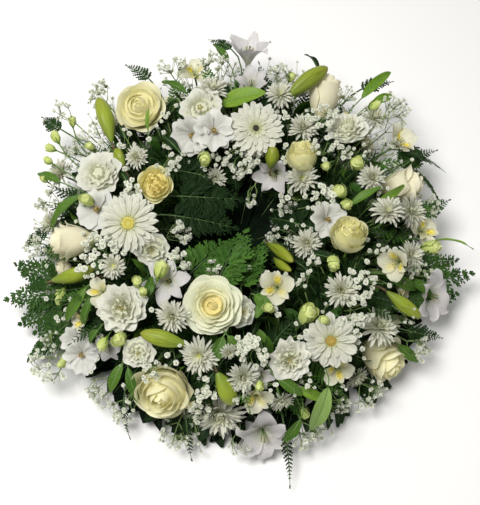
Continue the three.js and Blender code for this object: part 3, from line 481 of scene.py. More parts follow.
def alstroemeria(seed, cupped=0.0):
    """Three broad outer tepals, three narrower spotted inner ones."""
    rng = np.random.default_rng(seed)
    s = Shell()
    for i in range(3):
        P = strip(13, 11, 1.15 * rng.uniform(0.95, 1.05), 0.92, 1.0 + 0.3 * cupped + rng.uniform(-0.1, 0.1), -0.95 + 0.3 * cupped + rng.uniform(-0.2, 0.15), cup=0.5, r0=0.04, z0=-0.66, shape=lambda t: np.clip(0.3 + 1.1 * t, 0, 1) * np.clip((1 - t) / 0.3, 0, 1) ** 0.42, wave=0.07, waves=2.6, phase=rng.uniform(0, TAU), tipcurl=-0.3)
        s.grid(P @ spin(TAU * i / 3 + rng.uniform(-0.08, 0.08)).T, PETAL, rng.random(), pz=(0.8, 0.0, rng.random()))
    for i in range(3):
        P = strip(13, 9, 1.06 * rng.uniform(0.95, 1.05), 0.52, 1.15 + 0.2 * cupped + rng.uniform(-0.1, 0.1), -0.8 + rng.uniform(-0.2, 0.15), cup=0.7, r0=0.03, z0=-0.62, shape=lambda t: np.clip(0.3 + 1.1 * t, 0, 1) * np.clip((1 - t) / 0.34, 0, 1) ** 0.6, tipcurl=-0.4)
        s.grid(P @ spin(TAU * (i + 0.5) / 3 + rng.uniform(-0.1, 0.1)).T, PETAL, rng.random(), pz=(0.5, 0.95 if i < 2 else 0.35, rng.random()))
    for i in range(6):
        a = TAU * i / 6 + 0.3
        q = rng.uniform(0.10, 0.20)
        p = [(0.02 * math.cos(a), 0.02 * math.sin(a), -0.6), (0.05 * math.cos(a), 0.05 * math.sin(a), -0.25), (q * math.cos(a), q * math.sin(a), -0.04)]
        capped(s, tube(bez(*p, 6), 0.010, 5), GREEN, 0.7)
        capped(s, tube([np.array(p[2]) - (0, 0, 0.02), np.array(p[2]) + (0, 0, 0.01), np.array(p[2]) + (0, 0, 0.04)], [0.014, 0.026, 0.014], 6), EYE, rng.random(), pz=(0.5, 1, 0.5))
    capped(s, tube([(0, 0, -0.82), (0, 0, -0.72), (0, 0, -0.6)], [0.05, 0.09, 0.05], 8), GREEN, 0.4)
    return s


def lily_bud(seed, ratio=0.27, bend=0.12):
    """A closed lily bud along +Z from 0 to 1: six tepals pressed together."""
    rng = np.random.default_rng(seed)
    s = Shell()
    n, m = 22, 24
    t = np.linspace(0, 1, n)
    a = np.arange(m) * TAU / m
    prof = 0.16 + 0.86 * np.sin(np.pi * np.clip(t * 0.93 + 0.02, 0, 1) ** 1.12) ** 0.95
    prof = prof * np.clip((1 - t) / 0.07, 0.0, 1) ** 0.5 * np.clip(0.35 + t * 12, 0, 1)
    ridge = 1 - 0.13 * np.abs(np.cos(1.5 * a + 0.2))[None] ** 3 + 0.035 * np.cos(6 * a)[None]
    ridge = 1 + (ridge - 1) * np.sin(np.pi * np.clip(t + 0.05, 0, 1))[:, None] ** 0.5
    R = ratio / 2 * prof[:, None] * ridge
    P = np.empty((n, m, 3))
    b = bend * np.sin(np.pi * t) * 0.5
    tw = a[None] + 0.25 * t[:, None]
    P[..., 0] = R * np.cos(tw) + b[:, None]
    P[..., 1] = R * np.sin(tw)
    P[..., 2] = t[:, None]
    s.grid(P, PETAL, rng.random(), pz=(0.5, 0, rng.random()), closed=True, across=np.sin(3 * a)[None] * np.ones((n, 1)))
    return s


def small_bud(seed):
    """A lisianthus bud along +Z: a few furled, frilled petals in a green collar."""
    rng = np.random.default_rng(seed)
    s = Shell()
    turn = 1 if seed % 2 else -1
    n = 9
    wide = rng.uniform(0.85, 1.15)
    for i in range(n):
        k = i / (n - 1)
        rt = (0.03 + 0.27 * k) * wide
        zt = 0.98 - 0.16 * k + rng.uniform(-0.04, 0.04)
        prof = [(0.04, 0.0), (0.16 + 0.20 * k, 0.08), ((0.16 + 0.24 * k) * wide, 0.55), (rt, zt)]
        P, T = wrap(7, 9, prof, i * GOLD * turn + rng.uniform(-0.2, 0.2), 2.9 - 1.1 * k, swirl=0.04, round_=0.18, lip=0.05 * k, lipz=0.03 * k, ruf=0.022, rufn=rng.uniform(4, 8), ph=rng.uniform(0, TAU), droop=0.02, point=0.2)
        s.grid(P, PETAL, rng.random(), pz=(k, 0, rng.random()), along=T)
    a = np.arange(12) * TAU / 12
    rr = np.array([0.003, 0.10, 0.20, 0.30]) * wide
    s.grid(np.stack([rr[:, None] * np.cos(a), rr[:, None] * np.sin(a), np.broadcast_to(np.array([0.92, 0.88, 0.80, 0.68])[:, None], (4, 12))], -1), PETAL, 0.5, pz=(0.0, 0, 0.5), closed=True, along=0.7)
    for i in range(5):
        Q = strip(7, 3, 0.55 * rng.uniform(0.8, 1.3), 0.11, 0.5, 0.9, cup=0.4, r0=0.05, z0=-0.02, shape=lambda t: (1 - t) ** 0.6)
        s.grid(Q @ spin(TAU * i / 5 + rng.uniform(-0.15, 0.15)).T, GREEN, rng.random())
    capped(s, tube([(0, 0, -0.12), (0, 0, -0.04), (0, 0, 0.06)], [0.06, 0.12, 0.1], 8), GREEN, 0.4)
    return s


def floret(seed):
    """One gypsophila floret, radius 1: a full ball of tiny notched petals."""
    rng = np.random.default_rng(seed)
    s = Shell()
    for j, (n, L, rise, z) in enumerate(((4, 0.86, -0.25, -0.1), (4, 0.90, 0.35, -0.02), (3, 0.72, 0.95, 0.05))):
        for i in range(n):
            P = strip(3, 3, L * rng.uniform(0.88, 1.12), 1.25 - 0.15 * j, rise + 0.5 + rng.uniform(-0.15, 0.15), -1.0 + 0.3 * j + rng.uniform(-0.3, 0.2), cup=-0.7 * rng.uniform(0.4, 1.2), r0=0.06, z0=z - 0.15, shape=lambda t: np.array([0.3, 1.0, 0.62]))
            s.grid(P @ spin(TAU * (i + 0.5 * j) / n + rng.uniform(-0.2, 0.2)).T, 0, rng.random(), pz=(0.5, j / 3, rng.random()))
    return s


def twig_cloud(seed, florets, radius, depth, base, up, count, size=0.0042, down=None):
    """A gypsophila spray: twigs fork from `base` to florets scattered in a
    flattened cloud round the origin, which faces `up`. Metres."""
    rng = np.random.default_rng(seed)
    s = Shell()
    M = facing(up, rng.uniform(0, TAU))
    base = np.asarray(base, float)
    k = max(3, count // 9)
    hubs = []
    for i in range(k):
        a, q = i * GOLD, math.sqrt((i + 0.5) / k) * radius * 0.8
        hubs.append(M @ np.array([q * math.cos(a), q * math.sin(a), -depth * 0.5 + rng.uniform(-1, 1) * depth * 0.3]))
    hubs = np.array(hubs)
    fork = base + (hubs.mean(0) - base) * 0.45
    capped(s, tube([base, (base + fork) / 2, fork], [0.0011, 0.001, 0.0009], 5), 1, rng.random())
    for h in hubs:
        mid = (fork + h) / 2 + M @ np.array([0, 0, -0.004])
        capped(s, tube(bez(fork, mid, h, 5), [0.0008, 0.0007, 0.0006, 0.0006, 0.0005], 4), 1, rng.random())
    V0 = []
    for i in range(count):
        a, q = rng.uniform(0, TAU), math.sqrt(rng.random()) * radius
        p = M @ np.array([q * math.cos(a), q * math.sin(a), depth * (0.5 * (1 - (q / radius) ** 2) + rng.uniform(-0.5, 0.35))])
        h = hubs[np.argmin(((hubs - p) ** 2).sum(1))]
        d = p - h
        dl = np.linalg.norm(d) + 1e-9
        n = d / dl * 0.6 + M[:, 2] * 0.8 + rng.normal(0, 0.35, 3)
        capped(s, tube([h, (h + p) / 2 + rng.normal(0, 0.0012, 3), p], [0.00045, 0.0004, 0.0004], 3), 1, rng.random())
        r = size * rng.uniform(0.7, 1.18)
        if rng.random() < 0.14:
            r *= 0.55
        s.add(florets[rng.integers(len(florets))], facing(n, rng.uniform(0, TAU)), p, r)
    return s


def leaf(seed, length, width, rise=0.4, bend=-0.8, cup=0.35, wave=0.0015, twist=0.0, point=0.8, side=0.0, nt=18, nu=9):
    """A plain leaf that leaves the origin along +Y, rising towards +Z. Metres."""
    rng = np.random.default_rng(seed)
    s = Shell()
    P = strip(nt, nu, length, width, rise, bend, cup=cup, shape=lambda t: np.sin(np.pi * np.clip(0.03 + 0.94 * t ** 0.85, 0, 1)) ** point, groove=-0.05, grooves=1, wave=wave, waves=4, phase=rng.uniform(0, TAU), twist=twist, side=side)
    s.grid(P, 0, rng.random(), pz=(0.5, 0, rng.random()))
    mid = P[:, nu // 2]
    capped(s, tube(mid - np.array([0, 0, 0.0003]), np.linspace(0.0011, 0.0003, nt), 5 if nt > 12 else 3), 1, rng.random())
    return s


def leatherleaf(seed, length, width, arch=-0.5, pairs=8, droop=0.3):
    """A fuller frond along +Y: each side branch is itself a small frond of
    rounded leaflets folded along their midribs. Metres."""
    rng = np.random.default_rng(seed)
    s = Shell()
    k = 12
    t = np.linspace(0, 1, k)
    th = arch * (t - 0.35)
    ds = length / (k - 1)
    spine = np.zeros((k, 3))
    spine[1:, 1] = np.cumsum(np.cos(th[1:]) * ds)
    spine[1:, 2] = np.cumsum(np.sin(th[1:]) * ds)
    spine[:, 0] = rng.uniform(-0.09, 0.09) * length * t ** 2
    capped(s, tube(spine, np.linspace(0.0012, 0.0004, k), 4), 1, 0.5)
    shape = np.array([(0, 0, 0), (0.34, 1, 0.12), (0.36, 0, -0.05), (0.34, -1, 0.12), (0.76, 0.70, 0.05), (0.78, 0, -0.06), (0.76, -0.70, 0.05), (1, 0, -0.10)])
    F3 = np.array([(0, 3, 2), (0, 2, 1), (6, 7, 5), (5, 7, 4)])
    F4 = np.array([(3, 6, 5, 2), (2, 5, 4, 1)])
    X = np.array([1.0, 0, 0])
    for i in range(pairs + 1):
        q = 0.09 + 0.86 * (i / pairs) ** 0.95
        half = width / 2 * (1 - q) ** 0.8 * min(1.0, 0.7 + q * 2.5)
        c = np.array([np.interp(q, t, spine[:, j]) for j in range(3)])
        tilt = np.interp(q, t, th)
        Y = np.array([0, math.cos(tilt), math.sin(tilt)])
        Z = np.array([0, -math.sin(tilt), math.cos(tilt)])
        last = i == pairs
        for sd in ((1,) if last else (-1, 1)):
            ang = 0.0 if last else 1.02 - 0.28 * q + rng.uniform(-0.12, 0.12)
            D = sd * X * math.sin(ang) + Y * math.cos(ang)
            L = length * 0.09 if last else half / math.sin(ang) * rng.uniform(0.84, 1.10)
            roll = rng.uniform(-0.45, 0.45)
            E = np.cross(Z, D) * math.cos(roll) + Z * math.sin(roll)
            Zr = np.cross(D, E)
            fall = droop * rng.uniform(0.3, 1.5)
            at = lambda x: c + D * L * x - Z * fall * L * x * x * 0.5
            capped(s, tube([at(0), at(0.5), at(0.94)], [0.0006, 0.0005, 0.0003], 3), 1, rng.random())
            m = int(np.clip(L / 0.0054, 2, 5))
            V, A = [], []
            for j in range(m + 1):
                x = 0.10 + 0.84 * j / m
                for s2 in ((0,) if j == m else (-1, 1)):
                    a2 = 0.0 if j == m else 0.66 - 0.20 * x + rng.uniform(-0.12, 0.12)
                    d = D * math.cos(a2) + s2 * E * math.sin(a2)
                    e = E * math.cos(a2) - s2 * D * math.sin(a2)
                    l = (L * 0.42 * (1 - x) ** 0.6 * min(1.0, 0.75 + x) + 0.0044) * rng.uniform(0.86, 1.14)
                    w = l * 0.14 + 0.0007
                    V.append(at(x) + d * shape[:, :1] * l + e * shape[:, 1:2] * w + Zr * shape[:, 2:] * l * rng.uniform(0.5, 1.4))
                    A.append(np.stack([shape[:, 0], shape[:, 1], np.full(8, rng.random())], 1))
            n = np.arange(len(V))[:, None, None] * 8
            s.raw(np.concatenate(V), (F4[None] + n).reshape(-1, 4), (F3[None] + n).reshape(-1, 3), 0, np.concatenate(A), (q, 0.5, rng.random()))
    return s


def fern(seed, length, width, arch=-0.5, pairs=None, droop=0.25, curl=0.0, slim=1.0):
    """A leatherleaf frond along +Y from the origin, face up: narrow toothed
    pinnae that stand clear of one another. Metres."""
    rng = np.random.default_rng(seed)
    s = Shell()
    k = 14
    t = np.linspace(0, 1, k)
    th = arch * (t - 0.35) + curl * t ** 3
    ds = length / (k - 1)
    spine = np.zeros((k, 3))
    spine[1:, 1] = np.cumsum(np.cos(th[1:]) * ds)
    spine[1:, 2] = np.cumsum(np.sin(th[1:]) * ds)
    spine[:, 0] = rng.uniform(-0.09, 0.09) * length * t ** 2
    capped(s, tube(spine, np.linspace(0.0012, 0.0004, k), 4), 1, 0.5)
    pairs = pairs or max(7, int(length / 0.0066))
    X = np.array([1.0, 0, 0])
    for i in range(pairs + 1):
        q = 0.08 + 0.90 * (i / pairs) ** 0.95
        half = width / 2 * (1 - q) ** 0.8 * min(1.0, 0.5 + q * 3.5)
        c = np.array([np.interp(q, t, spine[:, j]) for j in range(3)])
        tilt = np.interp(q, t, th)
        Y = np.array([0, math.cos(tilt), math.sin(tilt)])
        Z = np.array([0, -math.sin(tilt), math.cos(tilt)])
        last = i == pairs
        if half < 0.002 and not last:
            continue
        for sd in ((1,) if last else (-1, 1)):
            ang = 0.0 if last else 1.06 - 0.30 * q + rng.uniform(-0.08, 0.08)
            D = sd * X * math.sin(ang) + Y * math.cos(ang)
            Lp = 0.0065 if last else half / math.sin(ang) * rng.uniform(0.86, 1.08)
            roll = rng.uniform(-0.4, 0.4)
            E0 = np.cross(Z, D)
            E = E0 * math.cos(roll) + Z * math.sin(roll)
            Zr = np.cross(D, E)
            m = int(np.clip(Lp / 0.0029, 3, 10))
            x = np.arange(m + 1)[:, None] / m
            drp = droop * rng.uniform(0.4, 1.4)
            sweep = 0.10 if not last else 0.0
            mid = c + D * Lp * x - Z * drp * Lp * x * x * 0.5 + (Y - D * (Y @ D)) * sweep * Lp * x * x
            w = min(0.0040, Lp * 0.27) * slim * (1.03 - x) ** 0.6 * np.minimum(1.0, 0.55 + 2 * x)
            V, F4, F3, A = [mid], [], [], [np.concatenate([x, 0 * x, 0 * x], 1)]
            for s2 in (-1, 1):
                b = (m + 1) * (1 if s2 < 0 else 2) + (0 if s2 < 0 else m)
                V += [mid + s2 * E * w * 0.46, mid[:-1] + s2 * E * w[:-1] * rng.uniform(0.85, 1.1, (m, 1)) + D * (Lp / m) * 0.75 + Zr * w[:-1] * 0.22]
                A += [np.concatenate([x, 0 * x + 0.4 * s2, 0 * x], 1), np.concatenate([x[:-1], 0 * x[:-1] + s2, 0 * x[:-1]], 1)]
                j = np.arange(m)
                no, ti = b + j, b + m + 1 + j
                if s2 < 0:
                    F4.append(np.stack([j, j + 1, ti, no], 1))
                    F3.append(np.stack([j + 1, no + 1, ti], 1))
                else:
                    F4.append(np.stack([j, no, ti, j + 1], 1))
                    F3.append(np.stack([j + 1, ti, no + 1], 1))
            A = np.concatenate(A)
            A[:, 2] = rng.random()
            s.raw(np.concatenate(V), np.concatenate(F4), np.concatenate(F3), 0, A, (q, 0.5, rng.random()))
    return s


# ------------------------------------------------------------------ materials
def new_mat(name):
    m = bpy.data.materials.new(name)
    m.use_nodes = True
    nt = m.node_tree
    nt.nodes.clear()
    out = nt.nodes.new("ShaderNodeOutputMaterial")
    b = nt.nodes.new("ShaderNodeBsdfPrincipled")
    nt.links.new(b.outputs[0], out.inputs[0])
    return m, nt, b, out


class Net:
    """Short calls for building a node tree."""

    def __init__(self, nt):
        self.nt = nt

    def node(self, kind, **kw):
        n = self.nt.nodes.new(kind)
        for k, v in kw.items():
            setattr(n, k, v)
        return n

    def link(self, a, b):
        self.nt.links.new(a, b)

    def attr(self, name):
        n = self.node("ShaderNodeAttribute", attribute_name=name)
        s = self.node("ShaderNodeSeparateXYZ")
        self.link(n.outputs["Vector"], s.inputs[0])
        return s.outputs

    def math(self, op, a, b=0.0, clamp=False):
        n = self.node("ShaderNodeMath", operation=op, use_clamp=clamp)
        for i, v in enumerate((a, b)):
            if isinstance(v, (int, float)):
                n.inputs[i].default_value = v
            else:
                self.link(v, n.inputs[i])
        return n.outputs[0]

    def ramp(self, fac, stops, interp="LINEAR"):
        n = self.node("ShaderNodeValToRGB")
        n.color_ramp.interpolation = interp
        e = n.color_ramp.elements
        while len(e) < len(stops):
            e.new(0.5)
        for el, (p, c) in zip(e, stops):
            el.position = p
            el.color = (*c, 1) if len(c) == 3 else c
        self.link(fac, n.inputs[0])
        return n.outputs[0]

    def mix(self, fac, a, b, mode="MIX"):
        n = self.node("ShaderNodeMix", data_type="RGBA", blend_type=mode)
        for i, v in ((0, fac), (6, a), (7, b)):
            if isinstance(v, (int, float)):
                n.inputs[i].default_value = v
            elif isinstance(v, tuple):
                n.inputs[i].default_value = (*v, 1) if len(v) == 3 else v
            else:
                self.link(v, n.inputs[i])
        return n.outputs[2]

    def vec(self, x, y, z):
        n = self.node("ShaderNodeCombineXYZ")
        for i, v in enumerate((x, y, z)):
            if isinstance(v, (int, float)):
                n.inputs[i].default_value = v
            else:
                self.link(v, n.inputs[i])
        return n.outputs[0]

    def noise(self, vec, scale, detail=2.0, rough=0.5):
        n = self.node("ShaderNodeTexNoise")
        n.inputs["Scale"].default_value = scale
        n.inputs["Detail"].default_value = detail
        n.inputs["Roughness"].default_value = rough
        if vec is not None:
            self.link(vec, n.inputs["Vector"])
        return n.outputs[0]

    def remap(self, v, a, b, c, d):
        n = self.node("ShaderNodeMapRange")
        self.link(v, n.inputs[0])
        for i, x in enumerate((a, b, c, d)):
            n.inputs[1 + i].default_value = x
        return n.outputs[0]

    def bump(self, h, strength, dist):
        n = self.node("ShaderNodeBump")
        n.inputs["Strength"].default_value = strength
        n.inputs["Distance"].default_value = dist
        self.link(h, n.inputs["Height"])
        return n.outputs[0]


def translucent(net, b, out, col, share, tint=(1, 1, 1)):
    t = net.node("ShaderNodeBsdfTranslucent")
    c = net.mix(1.0, col, tint, "MULTIPLY") if tint != (1, 1, 1) else col
    net.link(c, t.inputs[0])
    m = net.node("ShaderNodeMixShader")
    m.inputs[0].default_value = share
    net.link(b.outputs[0], m.inputs[1])
    net.link(t.outputs[0], m.inputs[2])
    net.link(m.outputs[0], out.inputs[0])


def petal_mat(name, rows, edge, base, veins=34, vein_dark=0.94, rough=0.55, share=0.22, blot=None, vary=0.05, sheen=0.15, throat=None):
    """Petal: the colour runs with the petal's row (pz.x) and its length (pt.x).
    rows: colours from the innermost to the outermost petal. edge tints the rim,
    base the foot; veins fan along it. blot adds a throat of other colours."""
    m, nt, b, out = new_mat(name)
    n = Net(nt)
    t, u, chance = n.attr("pt")
    age, deep, tint = n.attr("pz")
    col = n.ramp(age, rows)
    foot = n.remap(t, 0.0, 0.55, 1.0, 0.0)
    col = n.mix(n.math("MULTIPLY", foot, 0.85), col, base)
    rim = n.math("POWER", t, 7.0)
    col = n.mix(n.math("MULTIPLY", rim, 0.55), col, edge)
    wander = n.noise(n.vec(n.math("MULTIPLY", u, 1.2), n.math("MULTIPLY", t, 0.8), n.math("MULTIPLY", chance, 40.0)), 2.2, 3)
    col = n.mix(n.remap(wander, 0.35, 0.7, 0.0, 0.35), col, n.mix(0.5, base, edge))
    # veins: fine streaks along the petal, spread out by its width
    streak = n.noise(n.vec(n.math("MULTIPLY", u, veins), n.math("MULTIPLY", t, 2.2), n.math("MULTIPLY", chance, 31.0)), 1.0, 3, 0.6)
    vein = n.remap(streak, 0.38, 0.62, 0.0, 1.0)
    col = n.mix(1.0, col, n.ramp(vein, [(0.0, (vein_dark,) * 3), (0.5, (1, 1, 1)), (1.0, (1, 1, 1))]), "MULTIPLY")
    if throat:
        c1, c2, reach = throat
        g = n.remap(n.math("ADD", t, n.math("MULTIPLY", n.math("SUBTRACT", streak, 0.5), 0.25)), 0.0, reach, 1.0, 0.0)
        g = n.math("POWER", g, 1.4)
        col = n.mix(n.math("MULTIPLY", g, deep), col, n.ramp(g, [(0.0, c2), (0.6, c2), (1.0, c1)]))
    lum = n.remap(chance, 0.0, 1.0, 1.0 - vary, 1.0)
    col = n.mix(1.0, col, n.vec(lum, lum, lum), "MULTIPLY")
    if blot:
        col = blot(n, col, t, u, deep, chance)
    n.link(col, b.inputs["Base Color"])
    fine = n.noise(n.vec(n.math("MULTIPLY", u, 90.0), n.math("MULTIPLY", t, 60.0), chance), 1.0, 1)
    h = n.math("ADD", n.math("MULTIPLY", streak, 1.0), n.math("MULTIPLY", fine, 0.25))
    n.link(n.bump(h, 0.35, 0.0006), b.inputs["Normal"])
    n.link(n.remap(streak, 0.3, 0.7, rough - 0.06, rough + 0.08), b.inputs["Roughness"])
    b.inputs["Specular IOR Level"].default_value = 0.32
    b.inputs["Sheen Weight"].default_value = sheen
    b.inputs["Sheen Roughness"].default_value = 0.4
    translucent(n, b, out, col, share)
    return m


def leaf_mat(name, dark, light, vein, veins=11, rough=0.42, share=0.18, gloss=0.45, back=None):
    m, nt, b, out = new_mat(name)
    n = Net(nt)
    t, u, chance = n.attr("pt")
    age, deep, tint = n.attr("pz")
    blotch = n.noise(n.vec(n.math("MULTIPLY", u, 1.4), n.math("MULTIPLY", t, 3.0), n.math("MULTIPLY", chance, 20.0)), 2.0, 4)
    col = n.ramp(n.math("ADD", n.math("MULTIPLY", blotch, 0.7), n.math("MULTIPLY", tint, 0.35)), [(0.25, dark), (0.8, light)])
    au = n.math("ABSOLUTE", u)
    # side veins slant forward from the midrib
    ph = n.math("SUBTRACT", n.math("MULTIPLY", t, veins * TAU), n.math("MULTIPLY", au, 7.0))
    sv = n.math("POWER", n.math("ADD", n.math("MULTIPLY", n.math("SINE", ph), 0.5), 0.5), 12.0)
    mv = n.remap(au, 0.0, 0.09, 1.0, 0.0)
    v = n.math("MAXIMUM", n.math("MULTIPLY", sv, 0.45), mv)
    col = n.mix(n.math("MULTIPLY", v, 0.6), col, vein)
    n.link(col, b.inputs["Base Color"])
    cells = n.noise(n.vec(n.math("MULTIPLY", u, 60.0), n.math("MULTIPLY", t, 130.0), chance), 1.0, 2)
    h = n.math("ADD", n.math("MULTIPLY", v, -1.0), n.math("MULTIPLY", cells, 0.35))
    n.link(n.bump(h, 0.5, 0.0006), b.inputs["Normal"])
    n.link(n.remap(blotch, 0.3, 0.7, rough - 0.08, rough + 0.12), b.inputs["Roughness"])
    b.inputs["Specular IOR Level"].default_value = gloss
    translucent(n, b, out, n.mix(1.0, col, (1.25, 1.35, 0.55), "MULTIPLY"), share)
    return m


def grain_mat(name, dark, light, scale=160.0, rough=0.6, bump=0.4, dist=0.0008, spec=0.4, stretch=(1, 1, 1), share=0.0, by_age=None):
    """A fine mottled surface in object space, for stems, eyes, foam, plastic."""
    m, nt, b, out = new_mat(name)
    n = Net(nt)
    tc = n.node("ShaderNodeTexCoord")
    mp = n.node("ShaderNodeMapping")
    mp.inputs["Scale"].default_value = stretch
    n.link(tc.outputs["Object"], mp.inputs[0])
    big = n.noise(mp.outputs[0], scale * 0.2, 3)
    fine = n.noise(mp.outputs[0], scale, 4, 0.65)
    f = n.math("ADD", n.math("MULTIPLY", big, 0.5), n.math("MULTIPLY", fine, 0.5))
    col = n.ramp(f, [(0.32, dark), (0.68, light)])
    if by_age:
        age, deep, tint = n.attr("pz")
        col = n.mix(0.75, col, n.ramp(n.math("ADD", age, n.math("MULTIPLY", n.math("SUBTRACT", tint, 0.5), 0.12)), by_age))
    n.link(col, b.inputs["Base Color"])
    n.link(n.bump(fine, bump, dist), b.inputs["Normal"])
    n.link(n.remap(fine, 0.3, 0.7, rough - 0.08, rough + 0.1), b.inputs["Roughness"])
    b.inputs["Specular IOR Level"].default_value = spec
    if share:
        translucent(n, b, out, col, share)
    return m
def spots(n, col, t, u, deep, chance):
    """Alstroemeria's yellow patch with short brown dashes along the petal."""
    au = n.math("ABSOLUTE", u)
    patch = n.math("MULTIPLY", n.remap(t, 0.22, 0.40, 0.0, 1.0), n.remap(t, 0.62, 0.85, 1.0, 0.0))
    patch = n.math("MULTIPLY", n.math("MULTIPLY", patch, n.remap(au, 0.30, 0.95, 1.0, 0.0)), n.math("ADD", n.math("MULTIPLY", deep, 0.95), 0.05))
    col = n.mix(patch, col, (0.93, 0.80, 0.08))
    dash = n.noise(n.vec(n.math("MULTIPLY", u, 10.0), n.math("MULTIPLY", t, 8.0), n.math("MULTIPLY", chance, 17.0)), 1.0, 0)
    d = n.math("MULTIPLY", n.remap(dash, 0.62, 0.66, 0.0, 0.85), n.math("MULTIPLY", deep, n.math("MULTIPLY", n.remap(t, 0.2, 0.35, 0.0, 1.0), n.remap(t, 0.72, 0.85, 1.0, 0.0))))
    return n.mix(d, col, (0.24, 0.08, 0.02))


M = {}
# Rose petals: the deep-yellow base colours are the petals' own deeper base tone and also paint shade into the crevices
# where the feet show. In rose_petal the deep-gold stops at 0.28 to 0.33 fall on the inner feet (age 0.30): painted
# shade in the crevice round the heart.
M["rose"] = petal_mat("rose_petal", [(0.0, (0.92, 0.92, 0.68)), (0.18, (0.92, 0.91, 0.62)), (0.28, (0.91, 0.72, 0.20)), (0.33, (0.91, 0.72, 0.20)), (0.385, (0.90, 0.90, 0.64)), (0.6, (0.87, 0.89, 0.73)), (1.0, (0.80, 0.86, 0.68))], edge=(0.93, 0.93, 0.80), base=(0.93, 0.86, 0.44), veins=22, vein_dark=0.97, share=0.34, vary=0.04)
M["rose_cream"] = petal_mat("rose_petal_cream", [(0.0, (0.95, 0.92, 0.55)), (0.3, (0.94, 0.91, 0.56)), (0.6, (0.93, 0.91, 0.62)), (1.0, (0.89, 0.88, 0.62))], edge=(0.94, 0.92, 0.73), base=(0.95, 0.86, 0.40), veins=22, vein_dark=0.96, share=0.34, vary=0.05)
M["rose_pale"] = petal_mat("rose_petal_pale", [(0.0, (0.92, 0.90, 0.64)), (0.4, (0.91, 0.87, 0.65)), (1.0, (0.88, 0.84, 0.64))], edge=(0.93, 0.90, 0.76), base=(0.88, 0.84, 0.50), veins=22, vein_dark=0.96, share=0.32, vary=0.05)
M["rose_yellow"] = petal_mat("rose_petal_yellow", [(0.0, (0.96, 0.84, 0.30)), (0.2, (0.96, 0.87, 0.38)), (0.5, (0.95, 0.90, 0.46)), (1.0, (0.93, 0.90, 0.52))], edge=(0.95, 0.93, 0.62), base=(0.97, 0.80, 0.22), veins=20, vein_dark=0.96, share=0.36, vary=0.05)
M["rose_lemon"] = petal_mat("rose_petal_lemon", [(0.0, (0.95, 0.92, 0.50)), (0.3, (0.94, 0.92, 0.54)), (1.0, (0.91, 0.91, 0.58))], edge=(0.95, 0.94, 0.70), base=(0.96, 0.87, 0.34), veins=20, vein_dark=0.96, share=0.36, vary=0.05)
# white_petal's strong vein darkening is partly the petals' own veining, partly painted shade along their grooves
M["white"] = petal_mat("white_petal", [(0.0, (0.72, 0.76, 0.32)), (0.2, (0.76, 0.78, 0.48)), (0.5, (0.74, 0.74, 0.62)), (1.0, (0.73, 0.73, 0.65))], edge=(0.84, 0.84, 0.78), base=(0.70, 0.74, 0.42), veins=9, vein_dark=0.80, share=0.28, vary=0.12)
M["ruffled"] = petal_mat("ruffled_petal", [(0.0, (0.76, 0.79, 0.48)), (0.3, (0.80, 0.80, 0.69)), (1.0, (0.77, 0.77, 0.70))], edge=(0.87, 0.87, 0.82), base=(0.72, 0.75, 0.46), veins=30, vein_dark=0.92, share=0.32, vary=0.06)
M["broad"] = petal_mat("broad_white_petal", [(0.0, (0.79, 0.79, 0.74)), (1.0, (0.79, 0.79, 0.75))], edge=(0.85, 0.85, 0.82), base=(0.74, 0.74, 0.66), veins=30, vein_dark=0.90, share=0.32, vary=0.06, throat=((0.18, 0.11, 0.03), (0.70, 0.62, 0.32), 0.24))
M["lily"] = petal_mat("lily_petal", [(0.0, (0.80, 0.77, 0.78)), (1.0, (0.78, 0.745, 0.775))], edge=(0.82, 0.80, 0.82), base=(0.62, 0.68, 0.42), veins=22, vein_dark=0.84, rough=0.45, share=0.34, vary=0.08)
M["cream"] = petal_mat("alstroemeria_petal", [(0.0, (0.82, 0.81, 0.56)), (1.0, (0.82, 0.81, 0.68))], edge=(0.87, 0.87, 0.77), base=(0.64, 0.69, 0.26), veins=22, vein_dark=0.88, share=0.30, vary=0.08, blot=spots)
M["bud"] = petal_mat("lily_bud_skin", [(0.0, (0.30, 0.39, 0.03)), (0.5, (0.32, 0.41, 0.03)), (1.0, (0.40, 0.48, 0.055))], edge=(0.38, 0.31, 0.07), base=(0.17, 0.28, 0.035), veins=7, vein_dark=0.62, rough=0.42, share=0.08, vary=0.16, sheen=0.0)
M["bud_small"] = petal_mat("small_bud_skin", [(0.0, (0.82, 0.88, 0.36)), (0.5, (0.72, 0.82, 0.25)), (1.0, (0.66, 0.78, 0.22))], edge=(0.86, 0.90, 0.48), base=(0.50, 0.66, 0.14), veins=10, vein_dark=0.90, rough=0.46, share=0.3, vary=0.12)
M["baby"] = petal_mat("gypsophila_petal", [(0.0, (0.90, 0.92, 0.80)), (1.0, (0.92, 0.93, 0.86))], edge=(0.95, 0.95, 0.92), base=(0.80, 0.85, 0.62), veins=5, vein_dark=0.97, share=0.40, vary=0.06, sheen=0.05)
M["twig"] = grain_mat("gypsophila_twig", (0.12, 0.20, 0.05), (0.26, 0.36, 0.13), 400, 0.6)
M["stem"] = grain_mat("flower_stem", (0.06, 0.13, 0.025), (0.16, 0.26, 0.07), 260, 0.5, stretch=(1, 1, 0.25))
M["stem_brown"] = grain_mat("bud_stem", (0.07, 0.06, 0.02), (0.17, 0.10, 0.05), 260, 0.5, stretch=(1, 1, 0.25))
M["sepal"] = leaf_mat("sepal", (0.09, 0.20, 0.02), (0.20, 0.35, 0.05), (0.28, 0.42, 0.10), veins=5, gloss=0.2)
M["eye_gold"] = grain_mat("eye_gold", (0.46, 0.44, 0.10), (0.66, 0.62, 0.20), 420, 0.7, by_age=[(0.0, (0.34, 0.40, 0.10)), (0.45, (0.52, 0.52, 0.14)), (1.0, (0.66, 0.62, 0.24))])
M["eye_yellow"] = grain_mat("gerbera_eye", (0.42, 0.38, 0.07), (0.64, 0.56, 0.14), 520, 0.7, by_age=[(0.0, (0.30, 0.30, 0.06)), (0.3, (0.40, 0.36, 0.06)), (0.6, (0.62, 0.55, 0.12)), (1.0, (0.74, 0.72, 0.34))])
